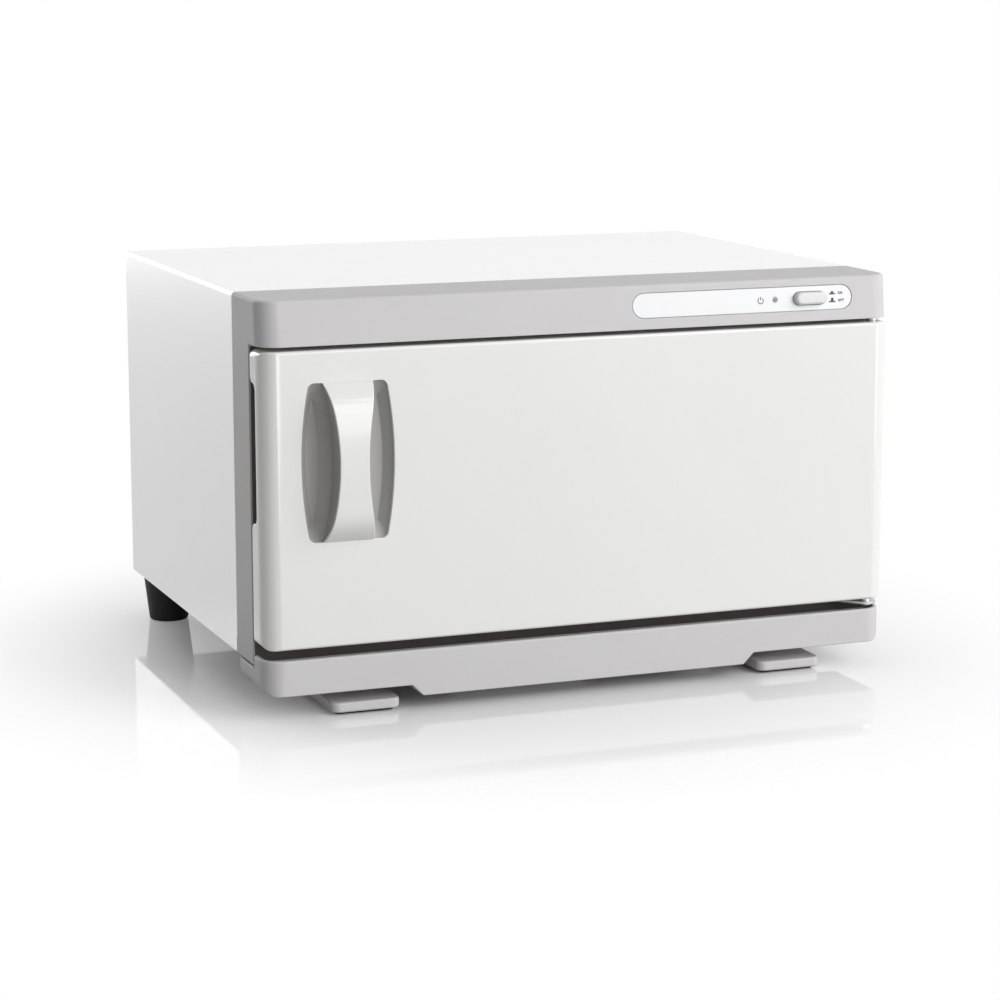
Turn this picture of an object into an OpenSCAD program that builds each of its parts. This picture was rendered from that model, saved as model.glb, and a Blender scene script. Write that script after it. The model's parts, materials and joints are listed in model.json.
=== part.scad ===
// Countertop towel warmer: a folded steel cabinet round a heated aluminium chamber, closed by a side-hung
// door with a bowed grip, with a push switch in the top bar and a drip tray that slides out under the door.
// Millimetres, +Z up, the door faces -Y, and the origin is on the ground under the middle of the object.

/* [Cabinet] */
// Width of the cabinet shell, shared by the front frame, the door and the tray
shell_w = 345; // [330:1:400]
// Depth of the cabinet shell behind the front frame
shell_d = 217; // [205:1:260]
// Height of the top above the ground
overall_h = 210; // [205:1:240]
// Height of the shell's lower edge above the ground
ground_gap = 26; // [25:0.5:30]
// Thickness of the sheet steel
sheet_t = 1; // [0.8:0.1:1.2]
// Outside radius of the shell's two folded edges
fold_r = 2; // [1.6:0.1:4]
// Width of the shell's return flanges
flange_w = 9; // [8.5:0.5:12]
// Height of the relief cut at the shell's lower front corners
relief_h = 8; // [4:0.5:12]
// Length of a vent slot
vent_l = 34; // [20:1:44]
// Width of a vent slot
vent_w = 4; // [2.5:0.5:5]
// Distance between vent slots
vent_pitch = 12; // [8:0.5:14]

/* [Front frame] */
// Depth of the jambs ahead of the shell
frame_d = 28; // [26:0.5:31]
// Depth of the top bar ahead of the shell, at its lower edge
bar_d = 48.5; // [46:0.5:52]
// Height of the top bar
bar_h = 22.6; // [21.6:0.2:28]
// How far the top bar's face leans back over its height
bar_lean = 2.6; // [0:0.2:3]
// Radius of the top bar's and the tray's front corners, seen from above
bar_r = 11; // [8:0.5:12]
// Wall thickness of the frame moulding
wall_t = 2.5; // [2:0.1:2.6]
// Width of each jamb beside the mouth
jamb_w = 27.5; // [26:0.5:34]
// Height of the sill under the mouth
sill_h = 22; // [20:0.5:28]
// Height of the rail between the mouth and the top bar
head_rail_h = 12.4; // [11:0.2:16]
// Depth of the return wall round the mouth
mouth_d = 14; // [10:0.5:16]
// Reach of the tabs that locate the frame inside the shell
tab_l = 8; // [5:0.5:10]
// Radius of the top bar's upper edge
bar_edge_r = 2.2; // [1.6:0.1:2.4]
// Thickness of the dark surround let into the frame's face
surround_t = 1; // [0.8:0.1:1.2]
// Width of the frame's lip round the dark surround
surround_lip = 1.2; // [1:0.1:2]

/* [Chamber] */
// How far the chamber's inside lies back from the mouth's edge
mouth_step = 2; // [1:0.5:3]
// Thickness of the chamber's aluminium sheet
liner_t = 1; // [0.8:0.1:1.5]
// Thickness of the insulation at the sides, top and back
insulation_t = 15; // [12:0.5:18]
// Room for wiring between the back insulation and the back panel
wiring_gap = 11; // [10:0.5:16]
// Thickness of the heater mat
heater_t = 1.6; // [1:0.1:3]
// Radius of the posts that carry the chamber
post_r = 4; // [3:0.5:5]
// Distance of the posts and the rack's legs from the chamber's side walls
post_inset = 23; // [15:1:30]
// Radius of the rack's cross wires and legs
leg_r = 2; // [1.5:0.1:2.5]
// Radius of the rack's long wires
wire_r = 1.5; // [1:0.1:2]
// Height of the rack's cross wires above the chamber floor
rack_h = 10; // [8:0.5:20]
// Number of long wires in the rack
rack_wires = 15; // [9:2:19]

/* [Door] */
// How far the door's face stands ahead of the top bar's lower edge
door_proud = 1; // [0:0.2:2]
// Gap between the back of the door and the frame, filled by the gasket
seal_gap = 2; // [1.8:0.1:2.6]
// Gap between the door and the top bar
gap_over_door = 2; // [1.6:0.1:3]
// Gap between the tray and the door
gap_under_door = 5.6; // [5.2:0.2:8]
// Radius of the door's upright front edges
door_r = 10; // [9:0.5:12]
// Radius of the door's corners seen from the front
door_corner_r = 4; // [3:0.5:6]
// Radius of the door's upper and lower front edges
door_edge_r = 1.6; // [1:0.1:2]
// Thickness of the door's skin
skin_t = 2.2; // [1.8:0.1:2.6]
// Thickness of the door's inner panel
panel_t = 2; // [1.5:0.1:2.5]
// Height of the raised field on the inner panel
field_h = 4; // [2:0.5:5]
// Distance of the raised field from the mouth's edge
field_inset = 9; // [8:0.5:14]
// Width of the gasket
gasket_w = 6; // [5:0.5:6]
// Distance of the gasket from the mouth's edge
gasket_inset = 1.5; // [1:0.1:2]

/* [Handle] */
// Distance from the door's free edge to the middle of the grip
grip_inset = 44; // [42:0.5:60]
// Height of the grip's middle above the door's middle
grip_rise = 18.6; // [0:0.2:20]
// Width of the grip at its waist
grip_w = 15; // [13:0.5:18]
// Width of the grip at its ends
grip_end_w = 26; // [22:0.5:28]
// How far the grip bows out ahead of the door's face
grip_bow = 11; // [6:0.5:13]
// Height of the grip's shallow crown between its two turned-down ends
crown_h = 48; // [40:1:52]
// Radius of the grip's crown
crown_r = 260; // [180:5:400]
// Height of the two pockets beside the grip
pocket_h = 79; // [70:1:86]
// Distance from the grip's middle to a pocket's outer edge, at its widest
pocket_reach = 24; // [22:0.5:27]
// Distance from the grip's middle to a pocket's outer edge, at its ends
pocket_end_reach = 20; // [18:0.5:21]
// Depth of the pockets behind the door's face
pocket_depth = 7; // [6:0.5:10]
// How far a pocket's outer wall draws in towards its floor
pocket_draft = 4; // [2.5:0.1:4.5]
// How far a pocket's wall under the grip draws in towards its floor
grip_draft = 6; // [4:0.1:6.5]
// How far a pocket's ends draw in towards its floor
pocket_end_draft = 7; // [3:0.5:8]
// Wall thickness of the pocket insert
cup_t = 2; // [1.5:0.1:2.4]
// Depth of the finger notch in the door's free edge
notch_d = 8; // [5:0.5:9]
// Height of the finger notch
notch_h = 70; // [50:1:74]
// Radius of the finger notch's curved ends
notch_r = 4; // [2.5:0.5:4]
// How far the finger recess reaches behind the door's free edge
notch_reach = 8; // [6.5:0.5:10]

/* [Hinge] */
// Distance from the door's hinged edge to the hinge axis
hinge_inset = 7.5; // [7:0.1:8]
// Distance from the door's face to the hinge axis
hinge_back = 8.5; // [8:0.1:10]
// Radius of the hinge pins
pin_r = 2.4; // [2:0.1:2.6]
// Radius of the pins' shoulders
shoulder_r = 3; // [2.8:0.1:3.4]
// Length of a pin inside the door
pin_l = 12; // [8:0.5:14]
// Radius of the door's bushes
bush_r = 3.8; // [3.5:0.1:4.2]
// Radius of the bosses round the bushes and the upper pin
boss_r = 6; // [5.5:0.1:6.5]
// Thickness of the lower hinge plate
leaf_t = 1.5; // [1.2:0.1:2]
// Width of the lower hinge plate's upright leaf
leaf_w = 30; // [28:1:36]
// Height of the lower hinge plate's upright leaf
leaf_h = 20; // [16:0.5:22]

/* [Controls] */
// Length of the control plate
plate_w = 124.6; // [110:0.2:130]
// Height of the control plate
plate_h = 12.4; // [11.6:0.2:13]
// Thickness of the control plate
plate_t = 0.8; // [0.6:0.1:1]
// Distance from the frame's right side to the control plate
plate_inset = 23.4; // [20:0.2:40]
// Height of the control plate's middle above the top bar's lower edge
plate_rise = 12; // [11.6:0.1:12.6]
// Length of the push button
button_w = 18.2; // [14:0.2:20]
// Height of the push button
button_h = 6.6; // [5.6:0.2:7.2]
// How far the button stands out when it is off
button_proud = 3.6; // [3.2:0.1:4.5]
// Radius of the button's front edge
button_edge_r = 1.4; // [0.6:0.1:2]
// Travel of the button
button_travel = 3; // [2:0.1:3.2]
// Distance from the control plate's right end to the button's middle
button_inset = 24.4; // [22:0.1:28]
// Radius of the power lamp's lens
lamp_r = 1.35; // [1:0.05:1.8]
// Distance from the control plate's right end to the lamp
lamp_inset = 44.1; // [42:0.1:60]
// Depth of the switch body
switch_d = 20; // [14:0.5:22]
// Height of the switch body
switch_h = 10.6; // [9:0.2:11]

/* [Drip tray] */
// Height of the tray's front edge above the shell's lower edge
tray_rise = 5.2; // [4:0.2:7]
// Height of the tray's shallow ends above the ground
tray_end_z = 13.1; // [11:0.1:14]
// Height of the tray's deep middle above the ground
tray_mid_z = 7.2; // [6:0.1:9]
// Width of the tray's deep middle at its underside
tray_mid_w = 179; // [170:1:184]
// Wall thickness of the tray
tray_t = 2.5; // [2:0.1:3]
// Radius of the tray's lower corners at its ends
tray_end_r = 7; // [4:0.5:8]
// Gap between the tray and the frame's lower edge
tray_slot = 1.4; // [0.8:0.1:1.5]
// Radius of the tray's upper edge
tray_edge_r = 1.2; // [0.8:0.1:1.6]
// Distance of the tray's back from the shell's front edge
tray_back = 4; // [2:0.5:6]
// Width of a tray tongue
tongue_w = 30; // [20:1:36]
// Thickness of a tray tongue
tongue_t = 3; // [2:0.1:4]
// Length of a tray tongue
tongue_l = 62; // [40:1:80]
// Distance from the tray's side to the middle of a tongue
tongue_inset = 112.5; // [106.5:0.5:132.5]

/* [Feet] */
// Width of a front foot
foot_w = 36.8; // [30:0.2:38]
// Distance from the cabinet's side to the middle of a front foot
foot_inset = 54; // [48.5:0.5:55.5]
// Thickness of a front foot's slab
foot_t = 5.2; // [4:0.1:5.4]
// Radius of a front foot's corners
foot_r = 5; // [3:0.5:7]
// How far a front foot's slab stays behind the tray's face
foot_setback = 3.5; // [2:0.5:8]
// Depth of the column that joins a front foot to the base
column_d = 22; // [16:0.5:26]
// Thickness of the rubber pads
pad_t = 1.3; // [1:0.1:1.5]
// Distance of a pad's edge from the slab's edge
pad_inset = 3; // [2:0.5:5]
// Radius of a rear foot at its top
rear_foot_r = 14; // [12:0.5:16]
// Radius of a rear foot at the ground
rear_foot_base_r = 11.1; // [9:0.1:12]
// Distance of a rear foot's axis from the shell's back
rear_foot_inset = 19; // [18:0.5:40]
// Distance of a rear foot's rim from the inside of the shell's side
rear_foot_side = 0.7; // [0.4:0.1:4]

/* [Fastenings] */
// Radius of a screw's shank
screw_r = 1.5; // [1.2:0.1:1.6]
// Radius of a screw's head
head_r = 3; // [2.8:0.1:3.4]
// Height of a screw's head
head_h = 1.8; // [1.4:0.1:2.2]
// Length of a screw's shank
screw_l = 8; // [6:0.5:10]
// Height of the low heads on the hinge plate and the door's inner panel
low_head_h = 1; // [0.8:0.1:1.2]
// Bore of the cord gland
gland_r = 3.6; // [3:0.1:4]
// Clearance between pieces
fit = 0.3; // [0.2:0.05:0.35]
// Clearance between a hinge pin and its bush
pin_fit = 0.05; // [0.03:0.01:0.08]

/* [Hidden] */
$fn = 64;

// Colours
steel_white = [0.95, 0.95, 0.94];
frame_grey = [0.78, 0.77, 0.77];
door_white = [0.90, 0.90, 0.88];
cup_grey = [0.55, 0.54, 0.54];
dark_taupe = [0.22, 0.20, 0.18];
bare_steel = [0.70, 0.70, 0.72];
aluminium = [0.80, 0.81, 0.83];
black_rubber = [0.08, 0.08, 0.08];
wool_yellow = [0.86, 0.80, 0.58];
silicone = [0.85, 0.85, 0.83];

// Main planes of the cabinet
half_w = shell_w / 2;
face_d = bar_d + door_proud;
overall_d = grip_bow + face_d + shell_d + head_h;
face_y = grip_bow - overall_d / 2;
shell_y = face_y + face_d;
rear_y = shell_y + shell_d;
panel_in_y = rear_y - 2 * sheet_t;
frame_y = shell_y - frame_d;
bar_y = shell_y - bar_d;
bar_soft_gap = 0.06;
bar_soft_r = bar_r - 0.4;
bar_soft_y = bar_y + bar_lean * (bar_h - bar_edge_r) / bar_h - bar_soft_gap;
door_back_y = frame_y - seal_gap;
top_z = overall_h;
base_z = ground_gap;
pan_z = base_z + sheet_t;
pan_top_z = pan_z + sheet_t;
bar_z = top_z - bar_h;
tray_top_z = base_z + tray_rise;
door_lo_z = tray_top_z + gap_under_door;
door_hi_z = bar_z - gap_over_door;
door_h = door_hi_z - door_lo_z;
door_mid_z = (door_lo_z + door_hi_z) / 2;

// Mouth and chamber
mouth_x = half_w - jamb_w;
mouth_lo_z = base_z + sill_h;
mouth_hi_z = bar_z - head_rail_h;
chamber_x = mouth_x - mouth_step;
chamber_lo_z = mouth_lo_z + mouth_step;
chamber_hi_z = mouth_hi_z - mouth_step;
chamber_y = frame_y + mouth_d;
liner_back_y = panel_in_y - wiring_gap - insulation_t;
chamber_back_y = liner_back_y - liner_t;
liner_flange = 4;
wool_gap = 5;
heater_z = chamber_lo_z - liner_t - heater_t;
post_x = chamber_x - post_inset;
post_ys = [for (share = [0.25, 0.85]) chamber_y + share * (liner_back_y - chamber_y)];
wool_y = chamber_y + liner_t + wool_gap;
rack_margin = 10;
rack_reach = post_x + 6;
rack_leg_x = rack_reach + 4;

// Handle
grip_x = grip_inset - half_w;
grip_z = door_mid_z + grip_rise;
pocket_v = pocket_h / 2;
bow_v = pocket_v + fit;
crown_v = crown_h / 2;
crown_a = asin(crown_v / crown_r);
crown_end = grip_bow - crown_r * (1 - cos(crown_a));
bow_run = (bow_v - crown_v) * cos(crown_a) + crown_end * sin(crown_a);
bow_drop = crown_end * cos(crown_a) - (bow_v - crown_v) * sin(crown_a);
bow_end_r = (pow(bow_run, 2) + pow(bow_drop, 2)) / (2 * bow_drop);
pocket_end_r = 2.6;
notch_rise = 4.1;
notch_lo_z = grip_z + notch_rise - notch_h / 2;

// Hinge: the hinged edge is cut back as far as the door's swing past the frame needs
hinge_x = half_w - hinge_inset;
hinge_y = face_y + hinge_back;
swing_gap = 0.8;
swing_r = frame_y - hinge_y - swing_gap;
edge_back_y = hinge_y + sqrt(pow(swing_r, 2) - pow(hinge_inset, 2));
swing_back_x = sqrt(pow(swing_r, 2) - pow(door_back_y - hinge_y, 2));
leaf_drop = 2.3;
leaf_z = door_lo_z - leaf_drop;
leaf_end = 4;
leaf_x = hinge_x + leaf_end - leaf_w;
leaf_back_y = frame_y + surround_t + leaf_t;
leaf_lo_z = leaf_z - leaf_t;
leaf_screw_x = hinge_x - 7.5;
leaf_screw_zs = [leaf_lo_z + 6.5, leaf_lo_z + leaf_h - 5];
nose_r = shoulder_r + 2.4;
rivet_h = 0.8;
pin_boss_h = 6;
pin_top_z = bar_z + wall_t + pin_boss_h;

// Controls, on the top bar's leaning face
lean_a = atan(bar_lean / bar_h);
plate_z = bar_z + plate_rise;
plate_y = bar_y + plate_rise * tan(lean_a);
plate_x = half_w - plate_inset - plate_w / 2;
plate_end_x = half_w - plate_inset;
button_x = plate_end_x - button_inset;
lamp_x = plate_end_x - lamp_inset;
plate_sink = 0.2;
stop_t = 1.5;
stop_lip = 1;
switch_y = wall_t + fit + stop_t + button_travel + 1.6;
switch_w = button_w - 1;
board_y = 9;
board_w = 14;
stem_r = 2;

// Drip tray
tray_back_y = shell_y - tray_back;
tray_cut_y = frame_y - tray_slot;
tray_low_z = base_z - tray_slot;
tray_step = tray_end_z - tray_mid_z;
tongue_x = half_w - tongue_inset;
tongue_drop = 8.5;
tongue_z = pan_z - tongue_drop;
guide_t = 1.8;
guide_y = shell_y + 6;

// Feet and other parts
slab_z = pad_t + foot_t;
foot_x = half_w - foot_inset;
foot_front_y = bar_y + foot_setback;
column_y = shell_y + 4;
foot_back_y = column_y + column_d;
foot_screw_y = column_y + column_d / 2;
rear_foot_x = half_w - sheet_t - rear_foot_side - rear_foot_r;
rear_foot_y = rear_y - rear_foot_inset;
rear_well_z = 12;
column_well_z = 14;
harness_r = 2.2;
harness_y = panel_in_y - wiring_gap / 2;
harness_z = plate_z - (switch_y + switch_d) * sin(lean_a);
gland_x = button_x + 20;
gland_z = base_z + 40;
gland_wall = 2.4;
gland_lip = 2;
gland_in = 3;
terminal_w = 30;
terminal_h = 14;
terminal_r = 2.4;
catch_x = -mouth_x - jamb_w / 2 - 1;
catch_z = door_lo_z + 34;
catch_size = [9, 9, 30];
catch_proud = 0.5;
strike_t = 0.8;
sensor_z = (chamber_lo_z + chamber_hi_z) / 2;
sensor_x = -60;
fuse_x = -24;
strap_t = 0.8;
sensor_bay = 16;
foot_screw_up = 4;
pan_rim_h = 10;
tab_t = 2;
tab_inset = 20;
shelf_t = 1.2;
flange_mid = half_w - sheet_t - flange_w / 2;
back_screw_spots = concat(
    [for (share = [-0.68, 0, 0.68]) [share * half_w, top_z - sheet_t - flange_w / 2]],
    [for (s = [-1, 1], share = [0.16, 0.67]) [s * flange_mid, base_z + share * (top_z - base_z)]]);
base_screw_ys = [for (share = [0.14, 0.5, 0.72]) shell_y + share * shell_d];
base_vent_y = shell_y + 0.59 * shell_d;
back_vent_z = base_z + 0.73 * (top_z - base_z);
boss_wall = 2;
door_screw_lo_z = mouth_lo_z + field_inset / 2;
door_screw_hi_z = mouth_hi_z - field_inset / 2;
door_screw_x = mouth_x - field_inset / 2;
door_screw_spots = [[-door_screw_x, door_screw_lo_z], [0, door_screw_lo_z], [door_screw_x, door_screw_lo_z],
    [grip_x + pocket_reach + 14, door_screw_hi_z], [door_screw_x, door_screw_hi_z]];

// Helpers: a box between two corners, outlines extruded along an axis, and a pair across the middle
module box(lo, hi) { translate(lo) cube(hi - lo); }
module along_x(x0, x1) { translate([x0, 0, 0]) rotate([90, 0, 90]) linear_extrude(x1 - x0) children(); }
module along_y(y0, y1) { translate([0, y1, 0]) rotate([90, 0, 0]) linear_extrude(y1 - y0) children(); }
module along_z(z0, z1) { translate([0, 0, z0]) linear_extrude(z1 - z0) children(); }
module both_sides() { for (s = [0, 1]) mirror([s, 0, 0]) children(); }

// Round bar along +Y from y0 to y1
module rod_y(x, z, r, y0, y1) { translate([x, y0, z]) rotate([-90, 0, 0]) cylinder(r = r, h = y1 - y0); }

// Rectangle about the origin with rounded corners
module round_rect(w, h, r) {
    square([w - 2 * r, h], center = true);
    square([w, h - 2 * r], center = true);
    for (x = [-1, 1], y = [-1, 1]) translate([x * (w / 2 - r), y * (h / 2 - r)]) circle(r);
}

// Slot outline with round ends
module stadium(w, h) {
    square([w - h, h], center = true);
    for (s = [-1, 1]) translate([s * (w - h) / 2, 0]) circle(h / 2);
}

// Plan outline with two rounded front corners, its front edge on y = 0
module round_front(w, d, r) {
    translate([-w / 2, r]) square([w, d - r]);
    translate([r - w / 2, 0]) square([w - 2 * r, d]);
    for (s = [-1, 1]) translate([s * (w / 2 - r), r]) circle(r);
}

// The control face: x along the bar, y into it and z up along its leaning face
module on_panel(x = 0) { translate([x, plate_y, plate_z]) rotate([-lean_a, 0, 0]) children(); }

// Screw with its head's underside on the origin and its shank along +Z
module screw(l = screw_l, h = head_h) {
    translate([0, 0, -h]) cylinder(r = head_r, h = h);
    cylinder(r = screw_r, h = l);
}

// Rounded outer edge in a lathe's half view: radius r, height h
module cap_profile(r, h, edge) {
    square([r, h - edge]);
    square([r - edge, h]);
    translate([r - edge, h - edge]) circle(edge);
}

// All that lies under a soft upper edge that follows a plan with two front corners of radius r,
// with sides that stand off the body's own by a small gap
module under_edge(front, top, edge, r, gap = 0) {
    h = 2 * edge;
    run = half_w + gap - r;
    box([-shell_w, front - bar_d, 0], [shell_w, shell_y + 1, top - edge]);
    translate([0, front, top - h]) {
        for (s = [-1, 1]) translate([s * run, r, 0]) rotate_extrude() cap_profile(r, h, edge);
        along_x(-run, run) translate([r, 0]) mirror([1, 0]) cap_profile(r, h, edge);
        along_y(r, 2 * bar_d) for (s = [0, 1]) mirror([s, 0]) translate([run, 0]) cap_profile(r, h, edge);
        box([-run - r / 2, r / 2, 0], [run + r / 2, 2 * bar_d, h]);
    }
}

// Cabinet shell
module wrap_outline(inset, drop) {
    w = shell_w - 2 * inset;
    h = top_z - base_z - inset;
    r = fold_r - inset;
    translate([-w / 2, base_z - drop]) square([w, h + drop - r]);
    translate([r - w / 2, base_z - drop]) square([w - 2 * r, h + drop]);
    for (s = [-1, 1]) translate([s * (w / 2 - r), base_z + h - r]) circle(r);
}

module outer_shell() {
    color(steel_white) difference() {
        union() {
            difference() {
                along_y(shell_y, rear_y) wrap_outline(0, 0);
                along_y(shell_y - 1, rear_y + 1) wrap_outline(sheet_t, 1);
            }
            along_y(rear_y - sheet_t, rear_y) difference() {
                wrap_outline(0, 0);
                translate([sheet_t + flange_w - half_w, base_z - 1])
                    square([shell_w - 2 * (sheet_t + flange_w), top_z - base_z + 1 - sheet_t - flange_w]);
            }
            both_sides()
                box([half_w - sheet_t - flange_w, shell_y + relief_h, base_z],
                    [half_w - sheet_t / 2, rear_y, pan_z]);
        }
        both_sides()
            box([half_w - 2 * sheet_t, shell_y - 1, base_z - 1],
                [half_w + 1, shell_y + sheet_t, base_z + relief_h]);
        for (p = back_screw_spots) rod_y(p[0], p[1], screw_r + fit, rear_y - 2 * sheet_t, rear_y + 1);
        both_sides() for (y = base_screw_ys) translate([flange_mid, y, base_z - 1])
            cylinder(r = screw_r + fit, h = 3 * sheet_t);
        both_sides() translate([rear_foot_x, rear_foot_y, base_z - 1])
            cylinder(r = rear_foot_r + fit, h = 3 * sheet_t);
    }
}

module base_pan() {
    w = shell_w - 2 * (sheet_t + fit);
    front = shell_y + tab_l + fit;
    back = panel_in_y - fit;
    color(bare_steel) difference() {
        union() {
            box([-w / 2, front, pan_z], [w / 2, back, pan_top_z]);
            box([-mouth_x, front, pan_z], [mouth_x, front + sheet_t, pan_z + pan_rim_h]);
        }
        for (row = [-1, 1], k = [-2.5:2.5])
            translate([row * tongue_x, base_vent_y + k * vent_pitch, pan_z - 1])
                linear_extrude(3 * sheet_t) stadium(vent_l, vent_w);
        both_sides() {
            for (y = base_screw_ys) translate([flange_mid, y, pan_z - 1])
                cylinder(r = screw_r + pin_fit, h = 3 * sheet_t);
            translate([rear_foot_x, rear_foot_y, pan_z - 1])
                cylinder(r = screw_r + pin_fit, h = 3 * sheet_t);
            translate([foot_x, foot_screw_y, pan_z - 1]) cylinder(r = screw_r + pin_fit, h = 3 * sheet_t);
        }
    }
}

module back_panel() {
    w = shell_w - 2 * (sheet_t + fit);
    color(steel_white) difference() {
        box([-w / 2, panel_in_y, pan_z], [w / 2, rear_y - sheet_t, top_z - sheet_t - fit]);
        for (k = [-4:4])
            along_y(panel_in_y - 1, rear_y) translate([k * vent_pitch, back_vent_z]) rotate(90)
                stadium(vent_l, vent_w);
        rod_y(gland_x, gland_z, gland_r + gland_wall, panel_in_y - 1, rear_y);
        for (p = back_screw_spots) rod_y(p[0], p[1], screw_r + pin_fit, panel_in_y - 1, rear_y);
    }
}

// Grommet snapped into the back panel, its groove gripping the sheet
module cord_gland() {
    neck_r = gland_r + gland_wall - pin_fit;
    out_l = sheet_t + head_h;
    color(black_rubber) translate([gland_x, panel_in_y, gland_z]) rotate([-90, 0, 0]) difference() {
        union() {
            translate([0, 0, -gland_in])
                cylinder(r1 = neck_r + gland_lip / 2, r2 = neck_r + gland_lip, h = gland_in);
            cylinder(r = neck_r, h = sheet_t);
            translate([0, 0, sheet_t])
                cylinder(r1 = neck_r + gland_lip, r2 = neck_r + gland_lip / 2, h = out_l);
        }
        translate([0, 0, -gland_in - 1]) cylinder(r = gland_r, h = gland_in + sheet_t + out_l + 2);
    }
}

// Top bar's outer or inner form: a plan outline leaned back, then cut level
module bar_form(inset, lo, hi) {
    intersection() {
        translate([0, bar_y, bar_z]) rotate([-lean_a, 0, 0]) translate([0, inset, -bar_h])
            linear_extrude(3 * bar_h) round_front(shell_w - 2 * inset, 2 * bar_d, bar_r - inset);
        box([-shell_w, bar_y - bar_d, lo], [shell_w, shell_y + (inset > 0 ? 1 : 0), hi]);
    }
}

// Front view of the dark surround's rim
module surround_outline(grow) {
    w = half_w - surround_lip + grow;
    lo = base_z + surround_lip - grow;
    translate([-w, lo]) square([2 * w, bar_z - surround_lip + grow - lo]);
}

module front_frame() {
    tab_x = half_w - sheet_t - fit;
    tab_top = top_z - sheet_t - fit;
    backing_y = leaf_back_y + screw_l + 1;
    color(frame_grey) {
        difference() {
            union() {
                difference() {
                    union() {
                        intersection() {
                            bar_form(0, bar_z, top_z);
                            under_edge(bar_soft_y, top_z, bar_edge_r, bar_soft_r, bar_soft_gap);
                        }
                        box([-half_w, frame_y, base_z], [half_w, shell_y, bar_z + wall_t]);
                    }
                    bar_form(wall_t, bar_z + wall_t, top_z - wall_t);
                    box([wall_t - half_w, frame_y + wall_t, base_z + wall_t],
                        [half_w - wall_t, shell_y + 1, top_z - wall_t]);
                }
                // Return wall round the mouth
                box([-mouth_x - wall_t, frame_y, mouth_lo_z - wall_t],
                    [mouth_x + wall_t, chamber_y, mouth_hi_z + wall_t]);
                // Backing of the hinge plate and boss of the upper pin
                box([leaf_x - wall_t, frame_y, base_z], [half_w, backing_y, leaf_lo_z + leaf_h + wall_t]);
                translate([hinge_x, hinge_y, bar_z]) cylinder(r = boss_r - 1, h = wall_t + pin_boss_h);
            }
            box([-mouth_x, frame_y - 1, mouth_lo_z], [mouth_x, shell_y, mouth_hi_z]);
            along_y(frame_y - 1, frame_y + surround_t) surround_outline(pin_fit);
            // Pocket and screw holes of the lower hinge plate
            box([leaf_x - fit, frame_y, leaf_lo_z - fit],
                [leaf_x + leaf_w + fit, leaf_back_y, leaf_lo_z + leaf_h + fit]);
            for (z = leaf_screw_zs)
                rod_y(leaf_screw_x, z, screw_r + pin_fit, frame_y, leaf_back_y + screw_l);
            // Bore of the upper pin
            translate([hinge_x, hinge_y, bar_z - 1])
                cylinder(r = pin_r + pin_fit, h = wall_t + pin_boss_h + 2);
            // Seat of the magnet catch
            translate([catch_x, frame_y, catch_z])
                cube(catch_size + [2 * pin_fit, wall_t * 3, 2 * pin_fit], center = true);
            // Recess of the control plate, with the button's and the lamp's holes
            on_panel() {
                along_y(-1, plate_sink + plate_t) translate([plate_x, 0])
                    stadium(plate_w + 2 * fit, plate_h + 2 * fit);
                along_y(0, wall_t + 1) translate([button_x, 0])
                    stadium(button_w + 4 * fit, button_h + 4 * fit);
                rod_y(lamp_x, 0, lamp_r + fit / 2, 0, wall_t + 1);
            }
        }
        // Tabs that locate the frame inside the shell
        box([tab_inset - half_w, shell_y - wall_t, tab_top - tab_t],
            [half_w - tab_inset, shell_y + tab_l, tab_top]);
        both_sides()
            box([tab_x - tab_t, shell_y - wall_t, base_z + tab_inset],
                [tab_x, shell_y + tab_l, top_z - tab_inset]);
        // Shelves that hold the switch and posts that hold the lamp board
        on_panel() {
            for (s = [0, 1]) mirror([0, 0, s])
                translate([button_x - switch_w / 2, wall_t - 0.5, switch_h / 2 + pin_fit])
                    cube([switch_w, switch_y + switch_d * 0.7 - wall_t, shelf_t]);
            for (s = [-1, 1]) rod_y(lamp_x + s * (board_w / 2 - 2), 0, 1.5, wall_t - 0.5, board_y);
        }
    }
}

// Dark facing round the mouth, behind the door and its gasket
module mouth_surround() {
    color(dark_taupe) along_y(frame_y, frame_y + surround_t) difference() {
        surround_outline(0);
        translate([-mouth_x, mouth_lo_z]) square([2 * mouth_x, mouth_hi_z - mouth_lo_z]);
        translate([catch_x, catch_z])
            square([catch_size[0] + 2 * pin_fit, catch_size[2] + 2 * pin_fit], center = true);
        // Slot of the lower hinge plate's tongue and holes of its screws
        translate([leaf_x - fit, leaf_lo_z - fit]) square([leaf_w + 2 * fit, leaf_t + 2 * fit]);
        for (z = leaf_screw_zs) translate([leaf_screw_x, z]) circle(screw_r + fit);
    }
}

module control_plate() {
    color("white") on_panel() along_y(plate_sink, plate_sink + plate_t) difference() {
        translate([plate_x, 0]) stadium(plate_w, plate_h);
        translate([button_x, 0]) stadium(button_w + 2 * fit, button_h + 2 * fit);
        translate([lamp_x, 0]) circle(lamp_r + fit / 2);
    }
}

// Lens through the control plate on the lamp's body
module power_lamp() {
    color("dimgray") on_panel() {
        rod_y(lamp_x, 0, lamp_r, 0, wall_t + 1);
        intersection() {
            translate([lamp_x, lamp_r, 0]) sphere(1.2 * lamp_r);
            rod_y(lamp_x, 0, lamp_r, -lamp_r, lamp_r);
        }
        rod_y(lamp_x, 0, lamp_r + 0.8, wall_t + fit, board_y);
    }
}

module lamp_board() {
    color("seagreen") on_panel() translate([lamp_x - board_w / 2, board_y, -5]) cube([board_w, 1.2, 10]);
}

module push_switch() {
    color("black") on_panel() difference() {
        translate([button_x - switch_w / 2, switch_y, -switch_h / 2]) cube([switch_w, switch_d, switch_h]);
        rod_y(button_x, 0, stem_r + fit, switch_y - 1, switch_y + switch_d - 3);
    }
}

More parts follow.
